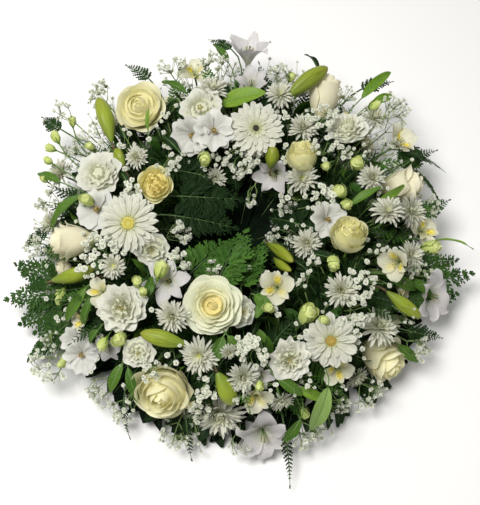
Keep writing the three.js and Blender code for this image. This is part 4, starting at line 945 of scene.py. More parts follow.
M["eye_amber"] = grain_mat("gerbera_amber_eye", (0.36, 0.26, 0.05), (0.60, 0.44, 0.10), 520, 0.7, by_age=[(0.0, (0.42, 0.38, 0.10)), (0.35, (0.46, 0.34, 0.07)), (0.7, (0.34, 0.22, 0.04)), (1.0, (0.62, 0.50, 0.16))])
M["eye_dark"] = grain_mat("gerbera_dark_eye", (0.02, 0.016, 0.012), (0.06, 0.045, 0.03), 520, 0.6, by_age=[(0.0, (0.05, 0.04, 0.025)), (0.25, (0.018, 0.014, 0.012)), (0.8, (0.022, 0.016, 0.013)), (0.95, (0.10, 0.08, 0.04)), (1.0, (0.40, 0.38, 0.22))])
M["eye_brown"] = grain_mat("stamen_brown", (0.14, 0.08, 0.02), (0.40, 0.26, 0.06), 420, 0.7, by_age=[(0.0, (0.54, 0.42, 0.14)), (0.5, (0.30, 0.19, 0.05)), (1.0, (0.44, 0.44, 0.18))])
M["stamen"] = grain_mat("stamen_gold", (0.30, 0.26, 0.06), (0.52, 0.46, 0.16), 420, 0.7)
M["anther"] = grain_mat("lily_anther", (0.24, 0.15, 0.04), (0.46, 0.32, 0.09), 420, 0.8)
# One frond green at four brightnesses, as lit and shaded copies: partly painted light and shade, partly leatherleaf's
# own mix of dark and bright green. The darkest, near-black, is painted shade for the inner fronds round the hole.
M["fern"] = leaf_mat("fern_dark", (0.006, 0.022, 0.004), (0.024, 0.062, 0.012), (0.03, 0.07, 0.02), veins=3, rough=0.5, share=0.10, gloss=0.14)
M["fern_bright"] = leaf_mat("fern_bright", (0.026, 0.085, 0.012), (0.078, 0.185, 0.024), (0.08, 0.17, 0.03), veins=3, rough=0.5, share=0.18, gloss=0.16)
M["fern_mid"] = leaf_mat("fern_mid", (0.013, 0.048, 0.008), (0.046, 0.112, 0.017), (0.05, 0.11, 0.022), veins=3, rough=0.5, share=0.14, gloss=0.15)
M["fern_deep"] = leaf_mat("fern_deep", (0.004, 0.014, 0.003), (0.015, 0.038, 0.009), (0.02, 0.045, 0.012), veins=3, rough=0.55, share=0.08, gloss=0.10)
M["rachis"] = grain_mat("fern_rachis", (0.03, 0.07, 0.02), (0.08, 0.14, 0.04), 300, 0.55)
M["leaf"] = leaf_mat("leaf_green", (0.038, 0.105, 0.010), (0.115, 0.225, 0.030), (0.16, 0.30, 0.06), veins=9, rough=0.4, share=0.18, gloss=0.22)
M["leaf_mid"] = leaf_mat("leaf_mid", (0.014, 0.055, 0.006), (0.050, 0.130, 0.017), (0.08, 0.16, 0.03), veins=9, rough=0.45, share=0.14, gloss=0.2)
M["leaf_bright"] = leaf_mat("leaf_bright", (0.10, 0.22, 0.016), (0.24, 0.38, 0.045), (0.30, 0.44, 0.09), veins=9, rough=0.4, share=0.22, gloss=0.22)
M["leaf_pale"] = leaf_mat("leaf_pale", (0.15, 0.28, 0.06), (0.27, 0.40, 0.12), (0.34, 0.46, 0.18), veins=9, rough=0.5, share=0.2, gloss=0.2)
# near-black green: partly the leaves' own dark green, partly painted shade where these leaves fill the deep gaps and
# the front edge
M["leaf_dark_painted_shade"] = leaf_mat("leaf_dark_painted_shade", (0.004, 0.015, 0.003), (0.013, 0.036, 0.008), (0.02, 0.045, 0.012), veins=9, rough=0.5, share=0.06, gloss=0.14)
# a near-black leaf that is painted shade, for leaves in the hole and under the front edge where there is only shadow
M["leaf_black"] = leaf_mat("leaf_shadow", (0.0016, 0.0040, 0.0016), (0.0045, 0.0105, 0.0045), (0.006, 0.012, 0.006), veins=7, rough=0.8, share=0.02, gloss=0.04)
# dark wet-foam green, kept near-black partly as painted shade of the deep gaps
M["foam"] = grain_mat("floral_foam", (0.006, 0.020, 0.005), (0.018, 0.045, 0.012), 900, 0.9, bump=0.9, dist=0.0012, spec=0.1)
M["plastic"] = grain_mat("tray_plastic", (0.010, 0.011, 0.012), (0.020, 0.021, 0.023), 1400, 0.42, bump=0.2, dist=0.0002, spec=0.5)


# ------------------------------------------------------------------ placing
CENTRE = np.array([-0.007242, 0.020704, 0.0])  # the ring's centre in the row frame
RC, AIM = 165.0, 38.0                           # foam ring's mean radius, stem height in it, mm
MM = 0.001
# Every bloom, bud, frond and spray below is in millimetres from the ring's centre.
BLOOMS = [
    ('rose_1', 'rose', (-139.8, 174.9, 123.9), (-0.220, -0.152, 0.964), 37.6),
    ('rose_2', 'garden_rose', (-110.2, 42.6, 137.5), (0.050, -0.483, 0.874), 25.5),
    ('rose_3', 'rose_side', (-233.4, -30.9, 111.9), (-0.800, -0.129, 0.586), 29.2),
    ('rose_4', 'rose', (-29.8, -134.8, 149.8), (0.000, -0.347, 0.938), 40.0),
    ('rose_5', 'rose', (-95.2, -235.0, 86.8), (-0.020, -0.774, 0.633), 36.3),
    ('rose_6', 'rose_side', (132.4, 212.5, 110.6), (0.220, 0.625, 0.749), 30.2),
    ('rose_7', 'garden_rose', (89.6, 89.0, 145.9), (-0.120, 0.142, 0.983), 25.0),
    ('rose_8', 'rose_side', (248.7, 66.9, 89.4), (0.800, -0.109, 0.590), 27.9),
    ('rose_9', 'garden_rose', (150.0, -32.2, 152.2), (-0.100, 0.008, 0.995), 27.8),
    ('rose_10', 'rose_side', (206.3, -185.3, 52.5), (0.620, -0.247, 0.745), 31.3),
    ('gerbera_1', 'gerbera', (-142.2, -20.8, 149.3), (-0.060, -0.279, 0.958), 40.0),
    ('gerbera_2', 'gerbera', (120.9, -177.4, 133.6), (0.020, -0.356, 0.934), 35.9),
    ('gerbera_3', 'gerbera', (28.1, 127.5, 142.4), (0.000, -0.261, 0.965), 39.7),
    ('mum_1', 'mum', (-137.0, 80.1, 145.2), (-0.300, -0.263, 0.917), 18.8),
    ('mum_2', 'mum', (-34.4, 192.7, 138.0), (0.100, 0.283, 0.954), 26.3),
    ('mum_3', 'mum', (62.9, 186.3, 137.5), (0.050, 0.083, 0.995), 23.3),
    ('mum_4', 'mum', (201.2, 168.3, 104.8), (0.300, 0.159, 0.941), 24.0),
    ('mum_5', 'mum', (-30.1, 75.4, 91.6), (0.050, -0.651, 0.757), 18.7),
    ('mum_6', 'mum', (91.7, 59.2, 123.0), (0.100, -0.326, 0.940), 25.2),
    ('mum_7', 'mum', (94.1, 129.9, 138.3), (0.050, 0.028, 0.998), 24.2),
    ('mum_8', 'mum', (185.9, 50.9, 139.2), (0.200, -0.224, 0.954), 22.2),
    ('mum_9', 'mum', (205.0, 2.8, 135.9), (-0.050, 0.140, 0.989), 25.4),
    ('mum_10', 'mum', (245.9, 22.6, 93.4), (0.450, -0.089, 0.889), 26.6),
    ('mum_11', 'mum', (96.0, -37.1, 119.6), (-0.050, -0.299, 0.953), 22.3),
    ('mum_12', 'mum', (239.4, -46.1, 98.7), (0.450, -0.191, 0.872), 23.0),
    ('mum_13', 'mum', (135.3, -113.0, 145.0), (0.050, -0.374, 0.926), 24.6),
    ('mum_14', 'mum', (-80.4, -148.1, 145.7), (-0.100, -0.391, 0.915), 24.2),
    ('mum_15', 'mum', (-45.6, -198.0, 137.8), (-0.300, -0.657, 0.692), 26.5),
    ('mum_16', 'mum', (9.5, -221.5, 124.6), (0.100, -0.786, 0.610), 21.6),
    ('mum_17', 'mum', (-20.5, -256.0, 61.6), (0.000, -0.998, 0.067), 29.4),
    ('mum_18', 'mum', (-159.5, -79.2, 142.8), (0.000, -0.375, 0.927), 18.4),
    ('mum_19', 'mum', (188.4, -149.6, 102.5), (0.350, 0.109, 0.930), 29.5),
    ('mum_20', 'mum', (-262.4, 12.9, 77.2), (-0.550, -0.118, 0.827), 19.7),
    ('mum_21', 'mum', (-252.8, 83.9, 90.7), (-0.500, -0.026, 0.866), 23.6),
    ('mum_22', 'mum', (31.1, 105.3, 122.5), (0.050, -0.822, 0.567), 15.6),
    ('mum_23', 'mum', (-8.1, -193.2, 139.4), (0.200, -0.779, 0.594), 12.6),
    ('lisianthus_1', 'lisianthus', (-188.4, 57.7, 140.8), (-0.120, -0.076, 0.990), 32.8),
    ('lisianthus_2', 'lisianthus', (-146.2, -136.0, 141.0), (-0.050, -0.260, 0.964), 32.3),
    ('lisianthus_3', 'lisianthus', (68.4, -202.3, 134.6), (-0.020, -0.356, 0.934), 27.2),
    ('lisianthus_4', 'lisianthus', (156.3, 134.6, 135.9), (-0.020, 0.281, 0.959), 30.2),
    ('lisianthus_5', 'lisianthus', (-50.8, 160.9, 143.5), (-0.150, -0.127, 0.981), 31.6),
    ('lisianthus_6', 'lisianthus', (-124.4, -189.4, 120.3), (-0.050, -0.483, 0.874), 22.0),
    ('lisianthus_7', 'lisianthus', (-111.3, -51.1, 129.1), (0.150, -0.631, 0.761), 24.1),
    ('lisianthus_8', 'lisianthus', (9.6, -138.1, 131.0), (0.550, -0.359, 0.754), 20.7),
    ('white_trumpet_1', 'trumpet', (-30.4, 121.5, 147.1), (0.030, -0.420, 0.907), 29.6),
    ('white_trumpet_2', 'trumpet', (-64.5, 119.6, 133.9), (-0.220, -0.585, 0.781), 29.7),
    ('white_trumpet_3', 'trumpet', (125.2, -8.5, 134.8), (0.150, -0.389, 0.909), 25.7),
    ('white_trumpet_4', 'trumpet', (-206.5, -172.9, 53.1), (0.020, -0.420, 0.907), 26.5),
    ('white_trumpet_5', 'trumpet', (-215.8, -148.0, 49.7), (-0.100, -0.259, 0.961), 21.1),
    ('white_trumpet_6', 'trumpet', (-190.3, 7.0, 133.3), (-0.250, -0.363, 0.898), 28.9),
    ('lily_1', 'lily', (20.4, 271.3, 138.9), (0.100, 0.520, 0.848), 36.4),
    ('lily_2', 'lily', (40.4, -269.8, 36.2), (0.100, -0.955, 0.281), 35.5),
    ('lily_3', 'lily', (272.7, -104.5, 66.8), (0.600, -0.433, 0.672), 31.2),
    ('lily_4', 'lily', (-90.4, -99.1, 136.6), (-0.050, -0.393, 0.918), 33.9),
    ('lily_5', 'lily', (51.1, 71.2, 99.8), (-0.300, -0.768, 0.566), 31.4),
    ('lily_6', 'lily', (23.3, 223.2, 117.9), (0.050, -0.026, 0.998), 28.5),
    ('lily_7', 'lily', (-169.5, -180.8, 87.8), (-0.050, -0.855, 0.516), 22.9),
    ('lily_8', 'lily', (33.6, -220.4, 114.5), (0.100, -0.634, 0.767), 18.0),
    ('alstroemeria_1', 'alstroemeria', (-62.6, 244.4, 112.5), (-0.050, 0.140, 0.989), 25.9),
    ('alstroemeria_2', 'alstroemeria', (53.8, -105.9, 132.5), (-0.080, -0.373, 0.924), 26.1),
    ('alstroemeria_3', 'alstroemeria', (267.9, -0.6, 79.7), (0.350, -0.207, 0.914), 24.6),
    ('alstroemeria_4', 'alstroemeria', (210.0, -69.4, 124.6), (-0.600, -0.476, 0.643), 24.3),
    ('alstroemeria_5', 'alstroemeria', (132.4, -207.4, 98.1), (0.100, -0.634, 0.767), 23.7),
    ('alstroemeria_6', 'alstroemeria', (26.1, -244.7, 96.1), (0.000, -0.788, 0.616), 23.4),
    ('alstroemeria_7', 'alstroemeria', (-178.0, -110.0, 128.6), (-0.300, -0.311, 0.902), 21.2),
    ('alstroemeria_8', 'alstroemeria', (239.5, 132.0, 104.1), (0.500, 0.083, 0.862), 25.3),
]
LILY_BUDS = [
    ('lily_bud_1', (-175.7, 116.1, 120.5), (-197.7, 183.6, 134.0), 24.1),
    ('lily_bud_2', (73.0, 183.7, 133.9), (133.1, 230.5, 140.0), 25.6),
    ('lily_bud_3', (-251.5, -80.7, 90.0), (-188.7, -70.2, 112.0), 21.3),
    ('lily_bud_4', (-60.1, -182.1, 131.6), (-120.8, -168.3, 138.4), 22.7),
    ('lily_bud_5', (-23.2, -215.5, 125.9), (-4.5, -251.1, 96.4), 25.6),
    ('lily_bud_6', (201.5, -98.6, 100.0), (249.9, -130.2, 80.0), 19.9),
    ('lily_bud_7', (48.3, 83.0, 104.7), (51.7, 102.4, 136.2), 21.3),
    ('lily_bud_8', (42.8, -12.0, 59.6), (77.1, -60.9, 110.2), 17.0),
    ('lily_bud_9', (53.4, -38.9, 69.4), (73.5, -76.8, 118.2), 12.8),
    ('lily_bud_10', (-153.2, 67.9, 141.9), (-165.3, 94.5, 144.6), 15.6),
]
SMALL_BUDS = [
    ((-43.2, 85.7, 126.4), (0.302, -0.599, 0.742), 12.8),
    ((164.8, 70.2, 151.9), (0.126, 0.054, 0.991), 11.4),
    ((126.8, -82.8, 152.1), (-0.110, 0.072, 0.991), 11.4),
    ((93.9, -142.4, 152.8), (0.030, -0.046, 0.999), 15.6),
    ((112.7, -154.6, 149.5), (0.150, -0.206, 0.967), 8.5),
    ((-95.8, -76.8, 143.9), (0.320, 0.257, 0.912), 11.4),
    ((-249.2, -102.2, 59.9), (-0.921, -0.378, 0.095), 14.2),
    ((-149.4, -175.0, 129.8), (-0.411, -0.481, 0.775), 12.8),
    ((-174.2, -179.5, 107.9), (-0.576, -0.593, 0.562), 8.5),
    ((29.5, -235.3, 123.5), (0.087, -0.695, 0.714), 7.1),
    ((281.8, -25.2, 76.6), (0.972, -0.087, 0.220), 12.8),
    ((-203.9, 17.8, 145.0), (-0.383, 0.033, 0.923), 11.4),
    ((137.2, 27.4, 149.8), (-0.239, -0.048, 0.970), 11.4),
    ((149.3, 4.2, 151.7), (-0.152, -0.004, 0.988), 9.9),
    ((41.1, -137.8, 150.7), (-0.059, 0.197, 0.979), 8.5),
    ((94.5, -252.2, 34.6), (0.347, -0.926, -0.146), 8.5),
    ((-237.9, -188.2, 53.0), (-0.784, -0.620, 0.022), 8.5),
    ((84.5, 238.1, 108.7), (0.278, 0.783, 0.557), 7.1),
    ((206.6, 185.9, 114.6), (0.645, 0.581, 0.497), 8.5),
    ((-208.6, 110.6, 124.6), (-0.610, 0.323, 0.724), 7.1),
    ((121.3, 62.6, 149.0), (-0.246, -0.127, 0.961), 7.1),
    ((-260.7, 135.6, 114.9), (-0.792, 0.412, 0.450), 8.5),
    ((-236.8, 160.2, 115.3), (-0.729, 0.493, 0.476), 7.1),
    ((-271.2, 99.1, 104.6), (-0.859, 0.314, 0.404), 6.4),
    ((-269.9, 115.2, 110.5), (-0.832, 0.355, 0.426), 7.1),
    ((-276.0, 72.3, 97.7), (-0.899, 0.236, 0.368), 6.4),
    ((-126.0, -102.2, 152.8), (0.021, 0.017, 1.000), 8.5),
    ((-117.6, -118.5, 152.9), (-0.013, -0.013, 1.000), 7.1),
]
FERNS = [
    ('fern_1', (-229.0, -86.7, 70.0), (-321.0, -95.7, 58.0), 60.0, 'b'),
    ('fern_2', (-232.6, -140.5, 58.0), (-287.8, -176.9, 36.0), 48.0, 'b'),
    ('fern_3', (234.6, -82.3, 66.0), (335.5, -62.4, 60.0), 60.0, 'b'),
    ('fern_4', (65.2, -276.4, 44.0), (72.6, -343.6, 26.0), 30.0, 'd'),
    ('fern_5', (254.0, 93.4, 88.0), (312.0, 20.1, 92.0), 40.0, 'b'),
    ('fern_6', (229.4, 92.4, 96.0), (294.5, 131.9, 84.0), 36.0, 'd'),
    ('fern_7', (-243.8, -74.9, 70.0), (-311.6, -46.6, 66.0), 52.0, 'b'),
    ('fern_8', (-236.9, -106.5, 64.0), (-303.5, -124.8, 44.0), 48.0, 'b'),
    ('fern_9', (-207.4, -128.7, 66.0), (-278.0, -143.8, 50.0), 48.0, 'b'),
    ('fern_10', (-147.9, -234.6, 60.0), (-146.6, -282.0, 30.0), 32.0, 'd'),
    ('fern_11', (-65.7, -261.7, 50.0), (-59.4, -310.2, 26.0), 32.0, 'd'),
    ('fern_12', (242.8, -57.2, 70.0), (312.7, -37.6, 66.0), 44.0, 'b'),
    ('fern_13', (233.3, -99.9, 66.0), (315.5, -87.2, 46.0), 48.0, 'b'),
    ('fern_14', (260.3, 20.7, 84.0), (305.0, 44.2, 84.0), 36.0, 'b'),
    ('fern_15', (230.4, -142.3, 64.0), (288.7, -146.7, 40.0), 36.0, 'd'),
    ('fern_16', (236.2, 116.3, 100.0), (303.1, 98.8, 84.0), 40.0, 'd'),
    ('fern_17', (-85.4, 40.8, 104.0), (5.7, 37.2, 92.0), 64.0, 'd'),
    ('fern_18', (-94.6, 13.4, 100.0), (0.1, 6.8, 84.0), 60.0, 'd'),
    ('fern_19', (-82.3, 81.8, 104.0), (-14.3, 68.8, 92.0), 52.0, 'd'),
    ('fern_20', (-31.8, -102.9, 100.0), (13.9, -11.4, 108.0), 72.0, 'b'),
    ('fern_21', (5.7, -95.8, 96.0), (36.3, -19.4, 88.0), 52.0, 'b'),
    ('fern_22', (-64.7, -76.5, 98.0), (-16.5, -21.0, 92.0), 52.0, 'b'),
    ('fern_23', (-0.1, 121.8, 96.0), (-6.0, 68.7, 60.0), 52.0, 'd'),
    ('fern_24', (46.4, 127.4, 92.0), (29.1, 68.7, 60.0), 52.0, 'd'),
    ('fern_25', (98.5, 3.7, 84.0), (46.2, 33.3, 60.0), 52.0, 'd'),
    ('fern_26', (91.4, 68.8, 92.0), (38.0, 64.2, 56.0), 52.0, 'd'),
    ('fern_27', (82.8, -52.2, 88.0), (37.0, -16.8, 60.0), 48.0, 'd'),
    ('fern_28', (-265.6, 5.4, 66.0), (-307.9, -11.1, 50.0), 40.0, 'd'),
    ('fern_29', (-255.9, 155.3, 90.0), (-293.0, 181.8, 80.0), 36.0, 'd'),
    ('fern_30', (-129.4, 238.0, 96.0), (-165.4, 275.8, 88.0), 36.0, 'd'),
    ('fern_31', (-6.5, 289.1, 100.0), (-40.6, 317.1, 92.0), 36.0, 'd'),
    ('fern_32', (184.2, 217.7, 100.0), (235.0, 244.2, 92.0), 36.0, 'd'),
    ('fern_33', (237.3, 99.8, 84.0), (270.0, 131.3, 80.0), 46.0, 'b'),
]
LEAVES = [
    ('leaf_1', (117.0, -232.7, 112.0), (98.3, -281.5, 74.0), 19.9, 'p'),
    ('leaf_2', (-20.1, 175.7, 128.0), (39.7, 180.8, 146.0), 24.1, 'b'),
    ('leaf_3', (-212.6, 34.0, 118.0), (-261.0, 2.8, 86.0), 15.6, 'g'),
    ('leaf_4', (-72.3, 194.2, 128.0), (-107.8, 216.4, 128.0), 12.8, 'g'),
    ('leaf_5', (-157.6, 129.1, 112.0), (-172.0, 160.4, 104.0), 12.8, 'd'),
    ('leaf_6', (-124.6, 132.8, 128.0), (-123.7, 157.7, 146.0), 5.7, 'b'),
    ('leaf_7', (183.2, 192.2, 118.0), (226.5, 235.9, 112.0), 14.2, 'b'),
    ('leaf_8', (-197.9, -100.0, 116.0), (-226.7, -132.9, 84.0), 12.8, 'g'),
    ('leaf_9', (-189.8, -112.6, 112.0), (-202.4, -143.8, 88.0), 12.8, 'g'),
    ('leaf_10', (-147.7, -197.6, 96.0), (-163.1, -228.7, 76.0), 12.8, 'g'),
    ('leaf_11', (-139.3, -203.4, 98.0), (-127.1, -243.1, 76.0), 12.8, 'g'),
    ('leaf_12', (-15.7, -174.0, 140.0), (-35.9, -207.8, 126.0), 17.0, 'g'),
    ('leaf_13', (-9.5, -172.1, 138.0), (8.2, -195.1, 122.0), 14.2, 'g'),
    ('leaf_14', (-19.7, -203.7, 120.0), (-55.9, -242.5, 92.0), 12.8, 'd'),
    ('leaf_15', (25.3, -111.9, 122.0), (48.2, -136.4, 130.0), 14.2, 'g'),
    ('leaf_16', (53.5, -222.2, 122.0), (82.0, -237.4, 104.0), 12.8, 'g'),
    ('leaf_17', (79.7, -230.9, 104.0), (116.1, -242.5, 92.0), 12.8, 'b'),
    ('leaf_18', (202.6, -76.5, 102.0), (249.6, -91.6, 84.0), 14.2, 'g'),
    ('leaf_19', (235.3, -77.8, 86.0), (267.1, -93.2, 72.0), 12.8, 'g'),
    ('leaf_20', (284.2, -10.1, 66.0), (335.9, -20.9, 70.0), 5.0, 'b'),
    ('leaf_21', (92.1, -50.0, 112.0), (133.4, -66.9, 122.0), 14.2, 'd'),
    ('leaf_22', (157.7, 15.1, 132.0), (195.3, 34.3, 142.0), 11.4, 'g'),
    ('leaf_23', (193.6, 20.6, 130.0), (234.5, 46.9, 126.0), 9.9, 'b'),
    ('leaf_24', (-147.4, 41.3, 134.0), (-160.9, 68.0, 136.0), 8.5, 'd'),
    ('leaf_25', (-115.8, -120.1, 134.0), (-108.5, -92.0, 140.0), 11.4, 'g'),
    ('leaf_26', (-180.4, -154.1, 104.0), (-191.9, -169.7, 92.0), 12.8, 'g'),
    ('leaf_27', (198.3, 185.8, 112.0), (229.7, 203.4, 106.0), 12.8, 'b'),
    ('leaf_28', (42.1, -120.1, 126.0), (26.2, -143.8, 132.0), 12.8, 'g'),
    ('leaf_29', (-12.1, 256.0, 116.0), (-33.4, 284.0, 112.0), 12.8, 'g'),
    ('leaf_30', (-248.3, 62.7, 104.0), (-282.9, 82.6, 84.0), 11.4, 'g'),
    ('leaf_31', (83.6, -265.4, 70.0), (63.4, -287.8, 50.0), 12.8, 'g'),
    ('leaf_32', (219.8, -162.8, 62.0), (247.3, -177.9, 40.0), 12.8, 'g'),
    ('leaf_33', (-81.2, 100.6, 128.0), (-100.9, 119.6, 134.0), 11.4, 'd'),
    ('leaf_34', (121.8, 246.1, 110.0), (105.1, 279.6, 108.0), 11.4, 'd'),
]
CLOUDS = [
    ('gypsophila_48', (-264.0, -188.6, 64.0), (-0.62, -0.45, 0.64), 20.0, 18),
    ('gypsophila_49', (-245.5, -200.3, 60.0), (-0.40, -0.55, 0.73), 18.0, 16),
    ('gypsophila_50', (234.0, 166.0, 96.0), (0.66, 0.45, 0.60), 20.0, 11),
    ('gypsophila_51', (222.0, 120.0, 108.0), (0.55, 0.33, 0.77), 18.0, 11),
    ('gypsophila_1', (-206.8, 214.2, 100.0), (-0.650, 0.673, 0.353), 21.3, 28),
    ('gypsophila_6', (-233.2, 122.0, 95.7), (-0.803, 0.420, 0.422), 28.4, 30),
    ('gypsophila_7', (-94.9, 247.1, 118.6), (-0.295, 0.769, 0.567), 22.7, 26),
    ('gypsophila_8', (-35.9, 258.3, 117.8), (-0.112, 0.808, 0.578), 25.6, 28),
    ('gypsophila_9', (69.7, 241.7, 108.7), (0.229, 0.795, 0.561), 22.7, 28),
    ('gypsophila_10', (160.3, 205.5, 108.0), (0.526, 0.674, 0.519), 19.9, 20),
    ('gypsophila_11', (231.1, 176.9, 120.8), (0.692, 0.530, 0.490), 24.1, 28),
    ('gypsophila_12', (7.1, 89.2, 116.9), (-0.059, -0.746, 0.663), 24.1, 30),
    ('gypsophila_13', (20.0, 47.7, 80.0), (-0.318, -0.948, 0.031), 11.4, 8),
    ('gypsophila_14', (54.9, -1.8, 46.5), (-0.999, 0.034, -0.032), 29.8, 46),
    ('gypsophila_15', (-77.0, -14.7, 101.9), (0.843, 0.161, 0.514), 18.5, 24),
    ('gypsophila_16', (-76.2, -68.3, 129.1), (0.462, 0.414, 0.784), 19.9, 24),
    ('gypsophila_17', (-29.8, -67.3, 92.9), (0.366, 0.828, 0.425), 17.0, 18),
    ('gypsophila_18', (5.7, -64.0, 88.1), (-0.083, 0.932, 0.354), 17.0, 18),
    ('gypsophila_19', (-93.3, 72.4, 139.3), (0.367, -0.285, 0.885), 17.0, 16),
    ('gypsophila_20', (120.4, 145.0, 148.1), (0.149, 0.179, 0.973), 21.3, 24),
    ('gypsophila_21', (119.1, 22.8, 140.9), (-0.426, -0.081, 0.901), 17.0, 18),
    ('gypsophila_22', (118.2, 91.6, 149.7), (-0.121, -0.094, 0.988), 17.0, 16),
    ('gypsophila_23', (-272.7, 42.5, 87.6), (-0.936, 0.146, 0.321), 18.5, 22),
    ('gypsophila_24', (-281.3, -27.0, 77.4), (-0.969, -0.093, 0.227), 19.9, 24),
    ('gypsophila_25', (-177.1, -53.5, 148.8), (-0.190, -0.058, 0.980), 21.3, 24),
    ('gypsophila_26', (-189.5, -79.1, 142.6), (-0.369, -0.154, 0.917), 17.0, 18),
    ('gypsophila_27', (-249.0, -161.2, 56.4), (-0.838, -0.543, 0.049), 24.1, 28),
    ('gypsophila_28', (-185.8, -222.9, 43.4), (-0.639, -0.767, -0.053), 21.3, 26),
    ('gypsophila_3', (-157.9, -249.1, 39.4), (-0.534, -0.842, -0.081), 22.7, 28),
    ('gypsophila_30', (-108.2, -210.4, 121.1), (-0.324, -0.631, 0.704), 17.0, 16),
    ('gypsophila_31', (-47.2, -257.0, 80.5), (-0.172, -0.938, 0.302), 19.9, 24),
    ('gypsophila_32', (-80.9, -282.5, 32.9), (-0.273, -0.953, -0.132), 25.6, 32),
    ('gypsophila_33', (23.1, -195.0, 145.8), (0.037, -0.309, 0.950), 21.3, 28),
    ('gypsophila_34', (159.7, -105.7, 147.3), (0.219, -0.145, 0.965), 21.3, 26),
    ('gypsophila_35', (161.6, -139.2, 138.6), (0.363, -0.312, 0.878), 18.5, 20),
    ('gypsophila_4', (180.9, -228.0, 41.7), (0.620, -0.782, -0.066), 27.0, 34),
    ('gypsophila_2', (93.6, -282.5, 33.2), (0.312, -0.942, -0.126), 28.4, 34),
    ('gypsophila_38', (251.8, -168.0, 55.6), (0.831, -0.555, 0.041), 21.3, 26),
    ('gypsophila_39', (277.9, 33.6, 86.4), (0.946, 0.115, 0.302), 17.0, 18),
    ('gypsophila_40', (-139.5, 28.1, 148.4), (0.221, -0.044, 0.974), 14.2, 12),
    ('gypsophila_41', (70.2, 33.2, 100.5), (-0.783, -0.370, 0.500), 14.2, 10),
    ('gypsophila_42', (-38.3, -238.6, 115.6), (-0.121, -0.750, 0.650), 17.0, 16),
    ('gypsophila_43', (-252.2, 166.5, 126.7), (-0.728, 0.481, 0.488), 17.0, 16),
    ('gypsophila_44', (249.2, -67.3, 89.0), (0.890, -0.240, 0.386), 18.5, 18),
    ('gypsophila_45', (145.4, -161.1, 136.5), (0.346, -0.383, 0.857), 17.0, 16),
    ('gypsophila_46', (5.7, -291.5, 32.0), (0.019, -0.990, -0.141), 19.9, 18),
    ('gypsophila_47', (137.8, -239.3, 37.5), (0.496, -0.861, -0.112), 19.9, 20),
]


def world(p):
    return np.asarray(p, float) * MM + CENTRE


def fit(s, radius=1.0):
    """Scales a bloom so that its petals reach the radius asked for."""
    V = np.concatenate(s.v)
    F = np.hypot(V[:, 0], V[:, 1])
    return radius / np.quantile(F, 0.998)


def foam_end(p, depth=13.0):
    """Where a stem from p ends inside the foam, millimetres."""
    a = math.atan2(p[1], p[0])
    A = np.array([RC * math.cos(a), RC * math.sin(a), AIM])
    d = np.asarray(p, float) - A
    return A + d / np.linalg.norm(d) * depth


def add_stem(s, base, back, mat, r=1.7, end=None, seed=0):
    """A slightly crooked stem from a head's base into the foam (mm in, m out)."""
    base = np.asarray(base, float)
    S = foam_end(base) if end is None else np.asarray(end, float)
    L = np.linalg.norm(S - base)
    C = base - np.asarray(back, float) * 0.38 * L
    C[2] = max(C[2], 34.0)
    path = bez(base, C, S, 9)
    rng = np.random.default_rng(seed)
    path[1:-1] += rng.normal(0, 0.35, path[1:-1].shape)
    capped(s, tube(world(path), np.linspace(r, r * 0.85, 9) * MM, 8), mat, rng.random())


LOOKS = {
    "rose_1": dict(form="shield", mat="rose_cream"), "rose_2": dict(mat="rose_yellow", form="rosette"), "rose_3": dict(openness=0.5, form="goblet", mat="rose_pale"),
    "rose_4": dict(form="open", mat="rose"), "rose_5": dict(form="shield", mat="rose_cream"), "rose_6": dict(openness=0.3, form="goblet", mat="rose_pale"),
    "rose_7": dict(mat="rose_lemon", form="egg"), "rose_8": dict(openness=0.5, form="goblet", mat="rose_pale"), "rose_9": dict(mat="rose_lemon", form="egg"),
    "rose_10": dict(openness=0.9, form="goblet", mat="rose_cream"),
    "lisianthus_1": dict(layers=(3, 4, 5, 6), heart=False, ruffle=1.1, opened=0.8), "lisianthus_2": dict(layers=(4, 5, 7, 7), heart=True, ruffle=1.7, opened=0.95),
    "lisianthus_3": dict(layers=(4, 5, 7, 7), heart=True, ruffle=1.7, opened=1.0), "lisianthus_4": dict(layers=(3, 5, 6, 7), heart=False, ruffle=1.7, opened=0.85),
}
# how much larger a head is than its packed stand-in, and a lean of its face
SWELL = {"rose_4": 0.96, "rose_6": 0.92, "rose_8": 1.08, "rose_10": 1.12, "rose_9": 0.90, "rose_7": 0.90, "rose_3": 0.98, "rose_1": 1.0, "rose_5": 1.14, "rose_2": 0.96, "gerbera_1": 1.04, "lily_1": 1.05, "lily_2": 1.18, "lily_3": 1.22, "mum_17": 1.28, "mum_16": 1.1}
# heads drawn longer than they are wide, by this much
TALL = {"rose_3": 1.5, "rose_6": 1.6, "rose_8": 1.4, "rose_10": 1.3, "rose_9": 1.32, "rose_7": 1.28, "rose_5": 1.25, "rose_1": 1.1}
LEAN = {"rose_10": (0.0, -0.50, -0.45), "rose_5": (-0.1, 0.0, 0.0), "rose_1": (0.1, -0.1, 0.0), "rose_8": (0.35, 0.25, -0.35), "rose_6": (0.05, 0.45, -0.3), "rose_3": (-0.4, 0.0, -0.35),  "mum_17": (0.0, 0.15, 0.55), "lily_2": (0.0, 0.16, 0.30), "lily_3": (0.1, -0.05, 0.05), "mum_16": (0.0, 0.2, 0.3), "mum_15": (0.0, 0.2, 0.2), "rose_7": (-0.1, 0.26, 0.0), "rose_9": (0.1, 0.24, 0.0), "rose_2": (0.0, 0.05, 0.0), "rose_4": (0.0, 0.10, 0.0)}
MOVE = {"lily_2": (-2, -22, 14), "lily_3": (4, 2, 14), "white_trumpet_4": (0, -9, 24), "white_trumpet_5": (-1, -9, 22)}
pieces = []


def keep(name, shell, mats, node=None):
    ob = build(name, shell, [M[k] for k in mats])
    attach(ob, "root")
    if node and node in NODES:
        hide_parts(node)
    pieces.append(ob)
    return ob


NODES = set(frame["nodes"])

